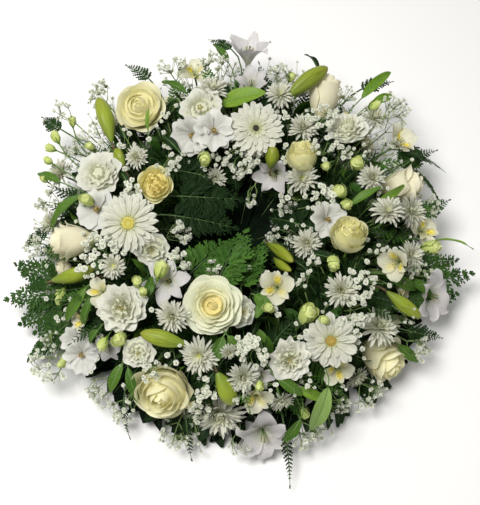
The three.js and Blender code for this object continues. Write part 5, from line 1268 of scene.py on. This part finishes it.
for i, (name, kind, at, face, radius) in enumerate(BLOOMS):
    seed = 100 + i
    rng = np.random.default_rng(seed)
    look = LOOKS.get(name, {})
    if kind in ("rose", "rose_side", "garden_rose"):
        h, mats, depth = rose(seed, look.get("openness", 0.6), look["form"]), [look["mat"], "eye_gold", "sepal"], 1.38 if look["form"] in ("egg", "goblet") else 1.0
    elif kind == "gerbera":
        style = int(name[-1]) - 1
        h, mats, depth = gerbera(seed, style), ["white", ("eye_yellow", "eye_amber", "eye_dark")[style], "sepal"], 0.34
    elif kind == "mum":
        h, mats, depth = mum(seed, rows=5 + i % 3, centre=(0.20, 0.17, 0.13)[i % 3], shut=rng.uniform(-0.05, 0.15), reflex=0.2 if i % 5 == 0 else 0.0), ["white", "eye_gold", "sepal"], 0.42
    elif kind == "lisianthus":
        h = lisianthus(seed, **look) if look else lisianthus(seed, (3, 4, 5), rng.uniform(0.8, 1.2), rng.uniform(0.7, 0.95))
        mats, depth = ["ruffled", "stamen", "sepal"], 0.95
    elif kind == "trumpet":
        h, mats, depth = trumpet(seed, rng.uniform(0.5, 1.0)), ["broad", "eye_brown", "sepal"], 0.8
    elif kind == "lily":
        h, mats, depth = lily(seed, spread=rng.uniform(0.1, 0.35), recurve=rng.uniform(-1.1, -0.7), wide=0.92 if name in MOVE else 0.72, cupped=0.5), ["lily", "anther", "stem"], 0.85
    else:
        h, mats, depth = alstroemeria(seed, cupped=0.6 if i % 2 else 0.0), ["cream", "anther", "stem"], 0.82
    k = fit(h) * radius * 1.04 * SWELL.get(name, 1.0)
    s = Shell()
    face = np.asarray(face) + np.array(LEAN.get(name, (0, 0, 0)))
    face /= np.linalg.norm(face)
    at = np.asarray(at) + np.array(MOVE.get(name, (0, 0, 0)))
    if name in TALL:
        for v in h.v:
            v[:, 2] *= TALL[name]
        at = at + face * k * 0.42 * (TALL[name] - 1)
        depth *= TALL[name]
    R = facing(face, rng.uniform(0, TAU))
    s.add(h, R, world(at), k * MM)
    mats = mats + ["stem"]
    add_stem(s, np.asarray(at) - np.asarray(face) * depth * k * 0.97, face, 3, r=2.2 if "rose" in kind or kind in ("gerbera", "lily") else 1.5, seed=seed)
    keep(name, s, mats, name)

for i, (name, a, b, w) in enumerate(LILY_BUDS):
    a, b = np.asarray(a), np.asarray(b)
    L = np.linalg.norm(b - a)
    s = Shell()
    s.add(lily_bud(300 + i, ratio=w / L * 0.97, bend=0.06), facing((b - a) / L, 2.0 * i), world(a), L * MM)
    add_stem(s, a + (b - a) / L * 0.02 * L, (b - a) / L, 1, r=1.7, seed=300 + i)
    keep(name, s, ["bud", "stem_brown"], name)

for i, (at, up, r) in enumerate(SMALL_BUDS):
    s = Shell()
    rng = np.random.default_rng(400 + i)
    n = np.asarray(up) + rng.normal(0, 0.35, 3)
    n /= np.linalg.norm(n)
    k = r / 0.42
    base = np.asarray(at) - n * k * 0.75
    s.add(small_bud(400 + i), facing(n, rng.uniform(0, TAU)), world(base), k * MM)
    add_stem(s, base - n * k * 0.1, n, 3, r=1.0, seed=400 + i)
    keep("small_bud_%d" % (i + 1), s, ["bud_small", "stamen", "sepal", "stem"], None)


def along(a, b, up=(0, 0, 1), roll=0.0):
    """A turn that takes +Y from a towards b, with +Z kept near up."""
    y = np.asarray(b, float) - np.asarray(a, float)
    y /= np.linalg.norm(y)
    z = np.asarray(up, float) - y * np.dot(up, y)
    z /= np.linalg.norm(z)
    x = np.cross(y, z)
    M_ = np.stack([x, y, z], 1)
    c, s_ = math.cos(roll), math.sin(roll)
    return M_ @ np.array([[c, 0, s_], [0, 1, 0], [-s_, 0, c]])


def tube_normal(p):
    a = math.atan2(p[1], p[0])
    d = np.asarray(p, float) - np.array([RC * math.cos(a), RC * math.sin(a), 45.0])
    return d / np.linalg.norm(d)


def frond(s, a, b, w, seed, pairs=None, arch=-0.5, slim=1.0, full=False):
    """A frond from a to b with its stalk running down into the foam."""
    a, b = np.asarray(a, float), np.asarray(b, float)
    L = np.linalg.norm(b - a)
    rng = np.random.default_rng(seed)
    if full:
        f = leatherleaf(seed, L * MM * 1.02, w * MM, arch=arch)
    else:
        f = fern(seed, L * MM * 1.02, w * MM, arch=arch, pairs=pairs, droop=rng.uniform(0.1, 0.4), slim=slim)
    up = tube_normal((a + b) / 2) * 0.7 + np.array([0, 0, 0.6])
    s.add(f, along(a, b, up, rng.uniform(-0.35, 0.35)), world(a))
    S = foam_end(a)
    d = (a - b) / L
    capped(s, tube(world(bez(a, a + d * 0.3 * np.linalg.norm(S - a), S, 6)), 1.2 * MM, 5), 1, 0.5)


def bare_clear(p, gap=0.0, front=0.85):
    """True where p neither sits in a bloom nor hides one from the front."""
    p = np.asarray(p, float)
    d = HEADS - p
    dist = np.linalg.norm(d, axis=1)
    if np.any(dist < HEAD_R * 0.95 + gap):
        return False
    v = EYE_AT - p
    v /= np.linalg.norm(v)
    ahead = d @ v
    off = np.linalg.norm(d - ahead[:, None] * v, axis=1)
    return not np.any((ahead < 0) & (dist < 110) & (off < HEAD_R * front))


EYE_AT = (np.array([5.7, -26.8, 60.0]) + 1150 * np.array([0, -math.cos(math.radians(68)), math.sin(math.radians(68))]))
HEADS = np.array([b[2] for b in BLOOMS] + [(np.asarray(q[1]) + np.asarray(q[2])) / 2 for q in LILY_BUDS] + [q[0] for q in SMALL_BUDS])
HEAD_R = np.array([b[4] for b in BLOOMS] + [14.0] * len(LILY_BUDS) + [q[2] for q in SMALL_BUDS])


FULL = set("fern_%d" % k_ for k_ in (1, 2, 3, 5, 7, 8, 9, 12, 13, 17, 18, 19, 20, 21, 22, 33))
for i, (name, a, b, w, tone) in enumerate(FERNS):
    s = Shell()
    inner = math.hypot(*a[:2]) < 130
    if name in ("fern_4", "fern_10", "fern_11"):
        w *= 0.72
    if name == "fern_5":
        b = tuple(np.asarray(a) * 0.42 + np.asarray(b) * 0.58)
    frond(s, a, b, w * (1.1 if inner else 0.92), 500 + i, pairs=max(9, int(math.dist(a, b) / (4.6 if inner else 5.6))), slim=0.85 if inner else 1.2, full=name in FULL)
    keep(name, s, ["leaf_dark_painted_shade" if name in ("fern_4", "fern_10", "fern_11") else "fern_bright" if tone == "b" and inner else "fern_mid" if tone == "b" else "fern_deep" if inner else "fern", "rachis"], name)

LEAF_MAT = {"g": "leaf", "b": "leaf_bright", "p": "leaf_pale", "d": "leaf_dark_painted_shade"}
for i, (name, a, b, w, tone) in enumerate(LEAVES):
    a, b = np.asarray(a), np.asarray(b)
    L = np.linalg.norm(b - a)
    rng = np.random.default_rng(600 + i)
    s = Shell()
    f = leaf(600 + i, L * MM * 1.08, w * MM * 1.15, rise=0.45, bend=-0.95 + rng.uniform(-0.3, 0.3), cup=rng.uniform(0.2, 0.7), wave=0.0012, twist=rng.uniform(-0.4, 0.4))
    s.add(f, along(a, b, tube_normal((a + b) / 2) + np.array([0, 0, 0.5]), rng.uniform(-0.4, 0.4)), world(a))
    d = (a - b) / L
    S = foam_end(a)
    capped(s, tube(world(bez(a, a + d * 0.3 * np.linalg.norm(S - a), S, 6)), 0.9 * MM, 6), 1, 0.5)
    keep(name, s, [LEAF_MAT[tone], "stem"], name)

FLORETS = [floret(i) for i in range(10)]
for i, (name, at, up, r, n) in enumerate(CLOUDS):
    at, up = np.asarray(at), np.asarray(up)
    base = at - up * 32
    s = twig_cloud(700 + i, FLORETS, r * MM, 18 * MM, -up * 32 * MM, up, n, size=0.0037 if math.hypot(at[0], at[1]) > 225 else 0.0043)
    t = Shell()
    t.add(s, None, world(at))
    S = foam_end(base)
    capped(t, tube(world(bez(base, (base + S) / 2, S, 4)), 1.0 * MM, 5), 1, 0.5)
    keep(name, t, ["baby", "twig"], name)

# ------------------------------------------------------------------ filling
def on_ring(a, pol, r):
    """The point at tube radius r, angle pol up from outward, at a round the ring."""
    c, sn = math.cos(a), math.sin(a)
    return np.array([RC * c, RC * sn, 48.0]) + r * np.array([math.cos(pol) * c, math.cos(pol) * sn, math.sin(pol)])


rng = np.random.default_rng(9)
SECTORS = 12
# fronds: a dark undergrowth over the foam, a skirt outside and a fringe inside
for ring, count, pols, r0, length, width, wild in (("top", 5, (0.7, 2.5), 34, (44, 62), (30, 44), 0.45), ("skirt", 7, (-0.42, 0.7), 40, (56, 84), (34, 50), 0.33), ("inner", 5, (2.35, 3.35), 36, (34, 58), (30, 44), 0.35)):
    for q in range(SECTORS):
        s = Shell()
        for j in range(count):
            a = TAU * (q + (j + rng.uniform(0, 1)) / count) / SECTORS
            pol = rng.uniform(*pols)
            base = on_ring(a, pol, r0)
            c, sn = math.cos(a), math.sin(a)
            d = np.array([math.cos(pol) * c, math.cos(pol) * sn, math.sin(pol)]) + wild * rng.normal(0, 1, 3)
            d /= np.linalg.norm(d)
            tip = base + d * rng.uniform(*length)
            tip[2] = max(tip[2], 9.0)
            frond(s, base, tip, rng.uniform(*width), 8000 + 977 * q + 31 * j + len(ring), arch=-0.8)
        keep("fern_%s_%d" % (ring, q + 1), s, ["fern_bright" if (ring == "skirt" and q % 3 == 0) else "fern", "rachis"], None)

# more fronds where they lie thickest, low on the left and on the right
for q, (mid, half) in enumerate(((192, 20), (352, 16))):
    s = Shell()
    for j in range(8):
        a = math.radians(mid + half * (2 * (j + rng.uniform(0, 1)) / 8 - 1))
        base = np.array([214 * math.cos(a), 214 * math.sin(a), rng.uniform(24, 70)])
        a2, r2 = a + rng.uniform(-0.14, 0.14), rng.uniform(268, 300)
        frond(s, base, np.array([r2 * math.cos(a2), r2 * math.sin(a2), rng.uniform(14, 54)]), rng.uniform(38, 52), 8900 + 40 * q + j, arch=-0.6, slim=1.1)
    keep("fern_low_%d" % (q + 1), s, ["fern_mid", "rachis"], None)

# plain dark leaves close the gaps between the heads; their near-black green is partly painted shade of the gaps
for ring, count, pols, r0, length, width in (("deep", 22, (0.1, 3.0), 44, (26, 42), (10, 17)), ("edge", 17, (-0.35, 0.55), 48, (30, 50), (12, 19))):
    for q in range(SECTORS):
        s = Shell()
        for j in range(count):
            a = TAU * (q + (j + rng.uniform(0, 1)) / count) / SECTORS
            pol = rng.uniform(*pols)
            base = on_ring(a, pol, r0)
            c, sn = math.cos(a), math.sin(a)
            n = np.array([math.cos(pol) * c, math.cos(pol) * sn, math.sin(pol)])
            d = n * (1.3 if ring == "edge" else 0.55) + 0.7 * rng.normal(0, 1, 3)
            d /= np.linalg.norm(d)
            L = rng.uniform(*length)
            tip = base + d * L
            if tip[2] < 8:
                tip[2] = 8.0
            sd = int(rng.integers(1 << 30))
            f = leaf(sd, L * MM, rng.uniform(*width) * MM, rise=0.35, bend=-0.8, cup=rng.uniform(0.2, 0.6), twist=rng.uniform(-0.4, 0.4), nt=8, nu=5)
            if j % 3 == 0:
                f.m4 = [np.full_like(v, 2) for v in f.m4]
            s.add(f, along(base, tip, n + np.array([0, 0, 0.2])), world(base))
            S = foam_end(base)
            capped(s, tube(world(bez(base, (base + S) / 2, S, 3)), 0.8 * MM, 4), 1, 0.5)
        # the front sectors' edge leaves take the near-black leaf, painted as the shade there
        front = ring == "edge" and q in (7, 8, 9, 10)
        keep("leaves_%s_%d" % (ring, q + 1), s, ["leaf_black" if front else "leaf_dark_painted_shade", "stem", "leaf_dark_painted_shade" if front else "leaf" if q % 2 else "leaf_mid"], None)

# low leaves that reach in over the ground inside the ring, near-black as painted shade of the hole
s = Shell()
for j in range(110):
    a = TAU * (j + rng.uniform(-0.4, 0.4)) / 110 * 5
    r1, r2 = rng.uniform(96, 110), rng.uniform(4, 60)
    z1, z2 = rng.uniform(8, 42), rng.uniform(5, 16)
    base = np.array([r1 * math.cos(a), r1 * math.sin(a), z1])
    a2 = a + rng.uniform(-0.5, 0.5)
    tip = np.array([r2 * math.cos(a2), r2 * math.sin(a2), z2])
    L = np.linalg.norm(tip - base)
    f = leaf(4000 + j, L * MM, rng.uniform(24, 34) * MM, rise=0.25, bend=-0.5, cup=rng.uniform(0.1, 0.35), nt=7, nu=5)
    s.add(f, along(base, tip, (0, 0, 1), rng.uniform(-0.3, 0.3)), world(base))
    S = foam_end(base)
    capped(s, tube(world(bez(base, (base + S) / 2, S, 3)), 0.8 * MM, 4), 1, 0.5)
keep("leaves_inner_low", s, ["leaf_black", "stem"], None)

# near-black and dark leaves that lie out over the tray's rim, painted as the deep shade under the front edge
for q in range(6):
    s = Shell()
    for j in range(30):
        a = math.radians(200 + 23 * (q + (j + rng.uniform(0, 1)) / 30))
        far = j % 2
        if far and 4.74 < a < 4.96:
            continue
        wide = 9 if 5.15 < a < 5.8 else 0
        r1, z1 = rng.uniform(202, 218) + 30 * far, rng.uniform(12, 34)
        r2, z2 = rng.uniform(244, 262) + 32 * far + wide, rng.uniform(3, 26)
        a2 = a + rng.uniform(-0.16, 0.16)
        base = np.array([r1 * math.cos(a), r1 * math.sin(a), z1])
        tip = np.array([r2 * math.cos(a2), r2 * math.sin(a2), z2])
        L = np.linalg.norm(tip - base)
        f = leaf(6000 + 100 * q + j, L * MM, rng.uniform(17, 27) * MM, rise=0.3, bend=-0.6, cup=rng.uniform(0.15, 0.5), nt=7, nu=5)
        s.add(f, along(base, tip, (math.cos(a) * 0.4, math.sin(a) * 0.4, 1), rng.uniform(-0.4, 0.4)), world(base))
        S = foam_end(base)
        capped(s, tube(world(bez(base, (base + S) / 2, S, 3)), 0.8 * MM, 4), 1, 0.5)
    keep("leaves_front_low_%d" % (q + 1), s, ["leaf_black" if q % 2 else "leaf_dark_painted_shade", "stem"], None)

# small white heads low on the outer side, all the way round
extra = 0
for j in range(40):
    a = TAU * (j + 0.5) / 40 + rng.uniform(-0.04, 0.04)
    pol = (-0.16, 0.30, 0.06, 0.48)[j % 4] + rng.uniform(-0.06, 0.06)
    R = rng.uniform(15, 22)
    p = on_ring(a, pol, rng.uniform(88, 98))
    if p[2] < R * 0.75 + 8:
        p[2] = R * 0.75 + 8
    if not bare_clear(p, R * 0.45, 0.4):
        continue
    extra += 1
    n = tube_normal(p) + rng.normal(0, 0.18, 3)
    n /= np.linalg.norm(n)
    pick = ("mum", "trumpet", "mum", "bud", "alstroemeria", "mum", "lisianthus")[extra % 7]
    sd = 2000 + j
    if pick == "mum":
        h, mats, depth = mum(sd, rows=5, centre=0.17), ["white", "eye_gold", "sepal"], 0.42
    elif pick == "trumpet":
        h, mats, depth = trumpet(sd, 0.8), ["broad", "eye_brown", "sepal"], 0.8
    elif pick == "alstroemeria":
        h, mats, depth = alstroemeria(sd, 0.4), ["cream", "anther", "stem"], 0.82
    elif pick == "lisianthus":
        h, mats, depth = lisianthus(sd, (3, 4, 5), 1.0, 0.8), ["ruffled", "stamen", "sepal"], 0.95
    else:
        h, mats, depth, R = rose(sd, 0.3, "goblet"), ["rose_pale", "eye_gold", "sepal"], 1.38, 18
    k = fit(h) * R
    s = Shell()
    s.add(h, facing(n, rng.uniform(0, TAU)), world(p), k * MM)
    add_stem(s, p - n * depth * k * 0.97, n, 3, r=1.4, seed=sd)
    HEADS, HEAD_R = np.vstack([HEADS, p]), np.append(HEAD_R, R)
    keep("side_bloom_%d" % extra, s, mats + ["stem"], None)

# gypsophila threaded through every gap that is left
for q in range(SECTORS):
    s = Shell()
    for j in range(14):
        a = TAU * (q + (j + rng.uniform(0, 1)) / 14) / SECTORS
        pol = rng.uniform(-0.3, 3.15) if j % 3 else rng.uniform(-0.3, 0.9)
        r = rng.uniform(86, 101) if pol > 0.8 else rng.uniform(92, 118)
        at = on_ring(a, pol, r)
        if at[2] < 16:
            continue
        n = tube_normal(at)
        hub = at - n * 22
        S = foam_end(hub)
        done = 0
        spread_ = rng.uniform(11, 20)
        if pol > 2.0 and at[0] < 20 and at[1] < 75:
            continue
        for f in range(9):
            p = at + rng.normal(0, 1, 3) * spread_ * (0.62, 0.62, 0.40)
            if p[2] < 8 or not bare_clear(p, 2.0):
                continue
            done += 1
            capped(s, tube(world([hub, (hub + p) / 2 + rng.normal(0, 1.2, 3), p]), [0.00045, 0.0004, 0.00035], 3), 1, rng.random())
            nn = tube_normal(p) + rng.normal(0, 0.4, 3)
            s.add(FLORETS[rng.integers(len(FLORETS))], facing(nn, rng.uniform(0, TAU)), world(p), (0.0036 if pol < 0.8 else 0.0042) * rng.uniform(0.65, 1.1))
        if done:
            capped(s, tube(world(bez(hub, (hub + S) / 2, S, 4)), 0.9 * MM, 4), 1, 0.5)
    keep("gypsophila_fill_%d" % (q + 1), s, ["baby", "twig"], None)

# ------------------------------------------------------------------ foam and tray
def ring_surface(section, steps, rough=0.0, seed=0, closed=True):
    rng = np.random.default_rng(seed)
    sec = np.asarray(section, float)
    P = np.empty((steps, len(sec), 3))
    a = np.arange(steps) * TAU / steps
    jit = rng.normal(0, rough, (steps, len(sec))) if rough else np.zeros((steps, len(sec)))
    r = sec[None, :, 0] + jit
    z = sec[None, :, 1] + (rng.normal(0, rough * 0.6, (steps, len(sec))) if rough else 0)
    P[..., 0], P[..., 1], P[..., 2] = r * np.cos(a)[:, None], r * np.sin(a)[:, None], z
    return P * MM + CENTRE


def wrap_grid(s, P, mat):
    n, m = P.shape[:2]
    idx = np.arange(n * m).reshape(n, m)
    i2 = np.concatenate([idx, idx[:1]], 0)
    i2 = np.concatenate([i2, i2[:, :1]], 1)
    F = np.stack([i2[:-1, :-1], i2[1:, :-1], i2[1:, 1:], i2[:-1, 1:]], -1).reshape(-1, 4)
    s.raw(P.reshape(-1, 3), F, None, mat)


sec = [(119.4, 3.6), (140, 3.5), (160, 3.5), (180, 3.5), (200.6, 3.6), (200.9, 12), (200.9, 22), (200.8, 32)]
for a in np.linspace(5, 175, 22):
    r = math.radians(a)
    sec.append((160 + 40.8 * math.cos(r), 38 + 26.5 * math.sin(r) ** 0.9))
sec += [(119.1, 32), (119.1, 22), (119.1, 12)]
s = Shell()
wrap_grid(s, ring_surface(sec, 160, rough=0.18, seed=3), 0)
keep("foam_ring_body", s, ["foam"], "foam_ring")

tray_sec = [(115.4, 0.5), (116, 0.0), (203.5, 0.0), (204.3, 0.5), (204.9, 20.0), (205.6, 20.6), (207.2, 21.2), (207.8, 22.2), (207.8, 24.2), (207.2, 25.0), (203.6, 25.0), (202.8, 24.2),
            (202.2, 4.0), (201.4, 3.1), (118.6, 3.1), (117.8, 4.0), (117.4, 24.2), (116.6, 25.0), (114.0, 25.0), (113.4, 24.2), (113.4, 22.2), (114.0, 21.2), (114.8, 20.6)]
s = Shell()
wrap_grid(s, ring_surface(tray_sec, 192), 0)
keep("tray_body", s, ["plastic"], "tray")

# ------------------------------------------------------------------ stage
fm = bpy.data.meshes.new("floor")
fm.from_pydata([(-4, -4, 0), (4, -4, 0), (4, 4, 0), (-4, 4, 0)], [], [(0, 1, 2, 3)])
floor = bpy.data.objects.new("floor", fm)
bpy.context.scene.collection.objects.link(floor)
mf, nt, b, out = new_mat("pale_floor")
b.inputs["Base Color"].default_value = (0.90, 0.90, 0.90, 1)
b.inputs["Roughness"].default_value = 0.9
fm.materials.append(mf)

world_ = bpy.data.worlds.new("soft_room")
bpy.context.scene.world = world_
world_.use_nodes = True
bg = world_.node_tree.nodes["Background"]
bg.inputs[0].default_value = (1.0, 0.99, 0.94, 1)
bg.inputs[1].default_value = 0.172


def lamp(name, at, to, size, power, colour=(1, 1, 1)):
    L = bpy.data.lights.new(name, "AREA")
    L.shape = "DISK"
    L.size, L.energy, L.color = size, power, colour
    o = bpy.data.objects.new(name, L)
    o.location = at
    o.rotation_euler = (Vector(to) - Vector(at)).to_track_quat("-Z", "Y").to_euler()
    bpy.context.scene.collection.objects.link(o)
    return o


lamp("key", (-0.52, -0.05, 1.80), (0, 0, 0.05), 0.85, 37, (1.0, 0.985, 0.96))
lamp("fill", (1.2, -1.3, 1.2), (0, 0, 0.05), 1.4, 6, (1.0, 0.99, 0.96))
lamp("back", (0.3, 1.7, 1.1), (0, 0, 0.08), 1.2, 4.3, (1, 1, 1))

E, DIST = math.radians(68.0), 1.150
look_at = np.array([5.7, -26.8, 60.0]) * MM + CENTRE
back_ = np.array([0, -math.cos(E), math.sin(E)])
cam = bpy.data.cameras.new("camera")
cam.sensor_width = 36.0
cam.sensor_fit = "AUTO"
cam.lens = 36.0 * (DIST / 1.42e-3) / 505.0
cam.clip_start, cam.clip_end = 0.05, 20
co = bpy.data.objects.new("camera", cam)
co.location = Vector(look_at + back_ * DIST)
co.rotation_euler = Vector(-back_).to_track_quat("-Z", "Y").to_euler()
bpy.context.scene.collection.objects.link(co)
bpy.context.scene.camera = co
bpy.context.scene.view_settings.view_transform = "Standard"
bpy.context.scene.view_settings.look = "None"

tally = {}
for ob in pieces:
    kind_ = ob.name.rstrip("0123456789").rstrip("_")
    tally[kind_] = tally.get(kind_, 0) + sum(len(p.vertices) - 2 for p in ob.data.polygons)
print("TRIS", sum(tally.values()), sorted(tally.items(), key=lambda q: -q[1]))
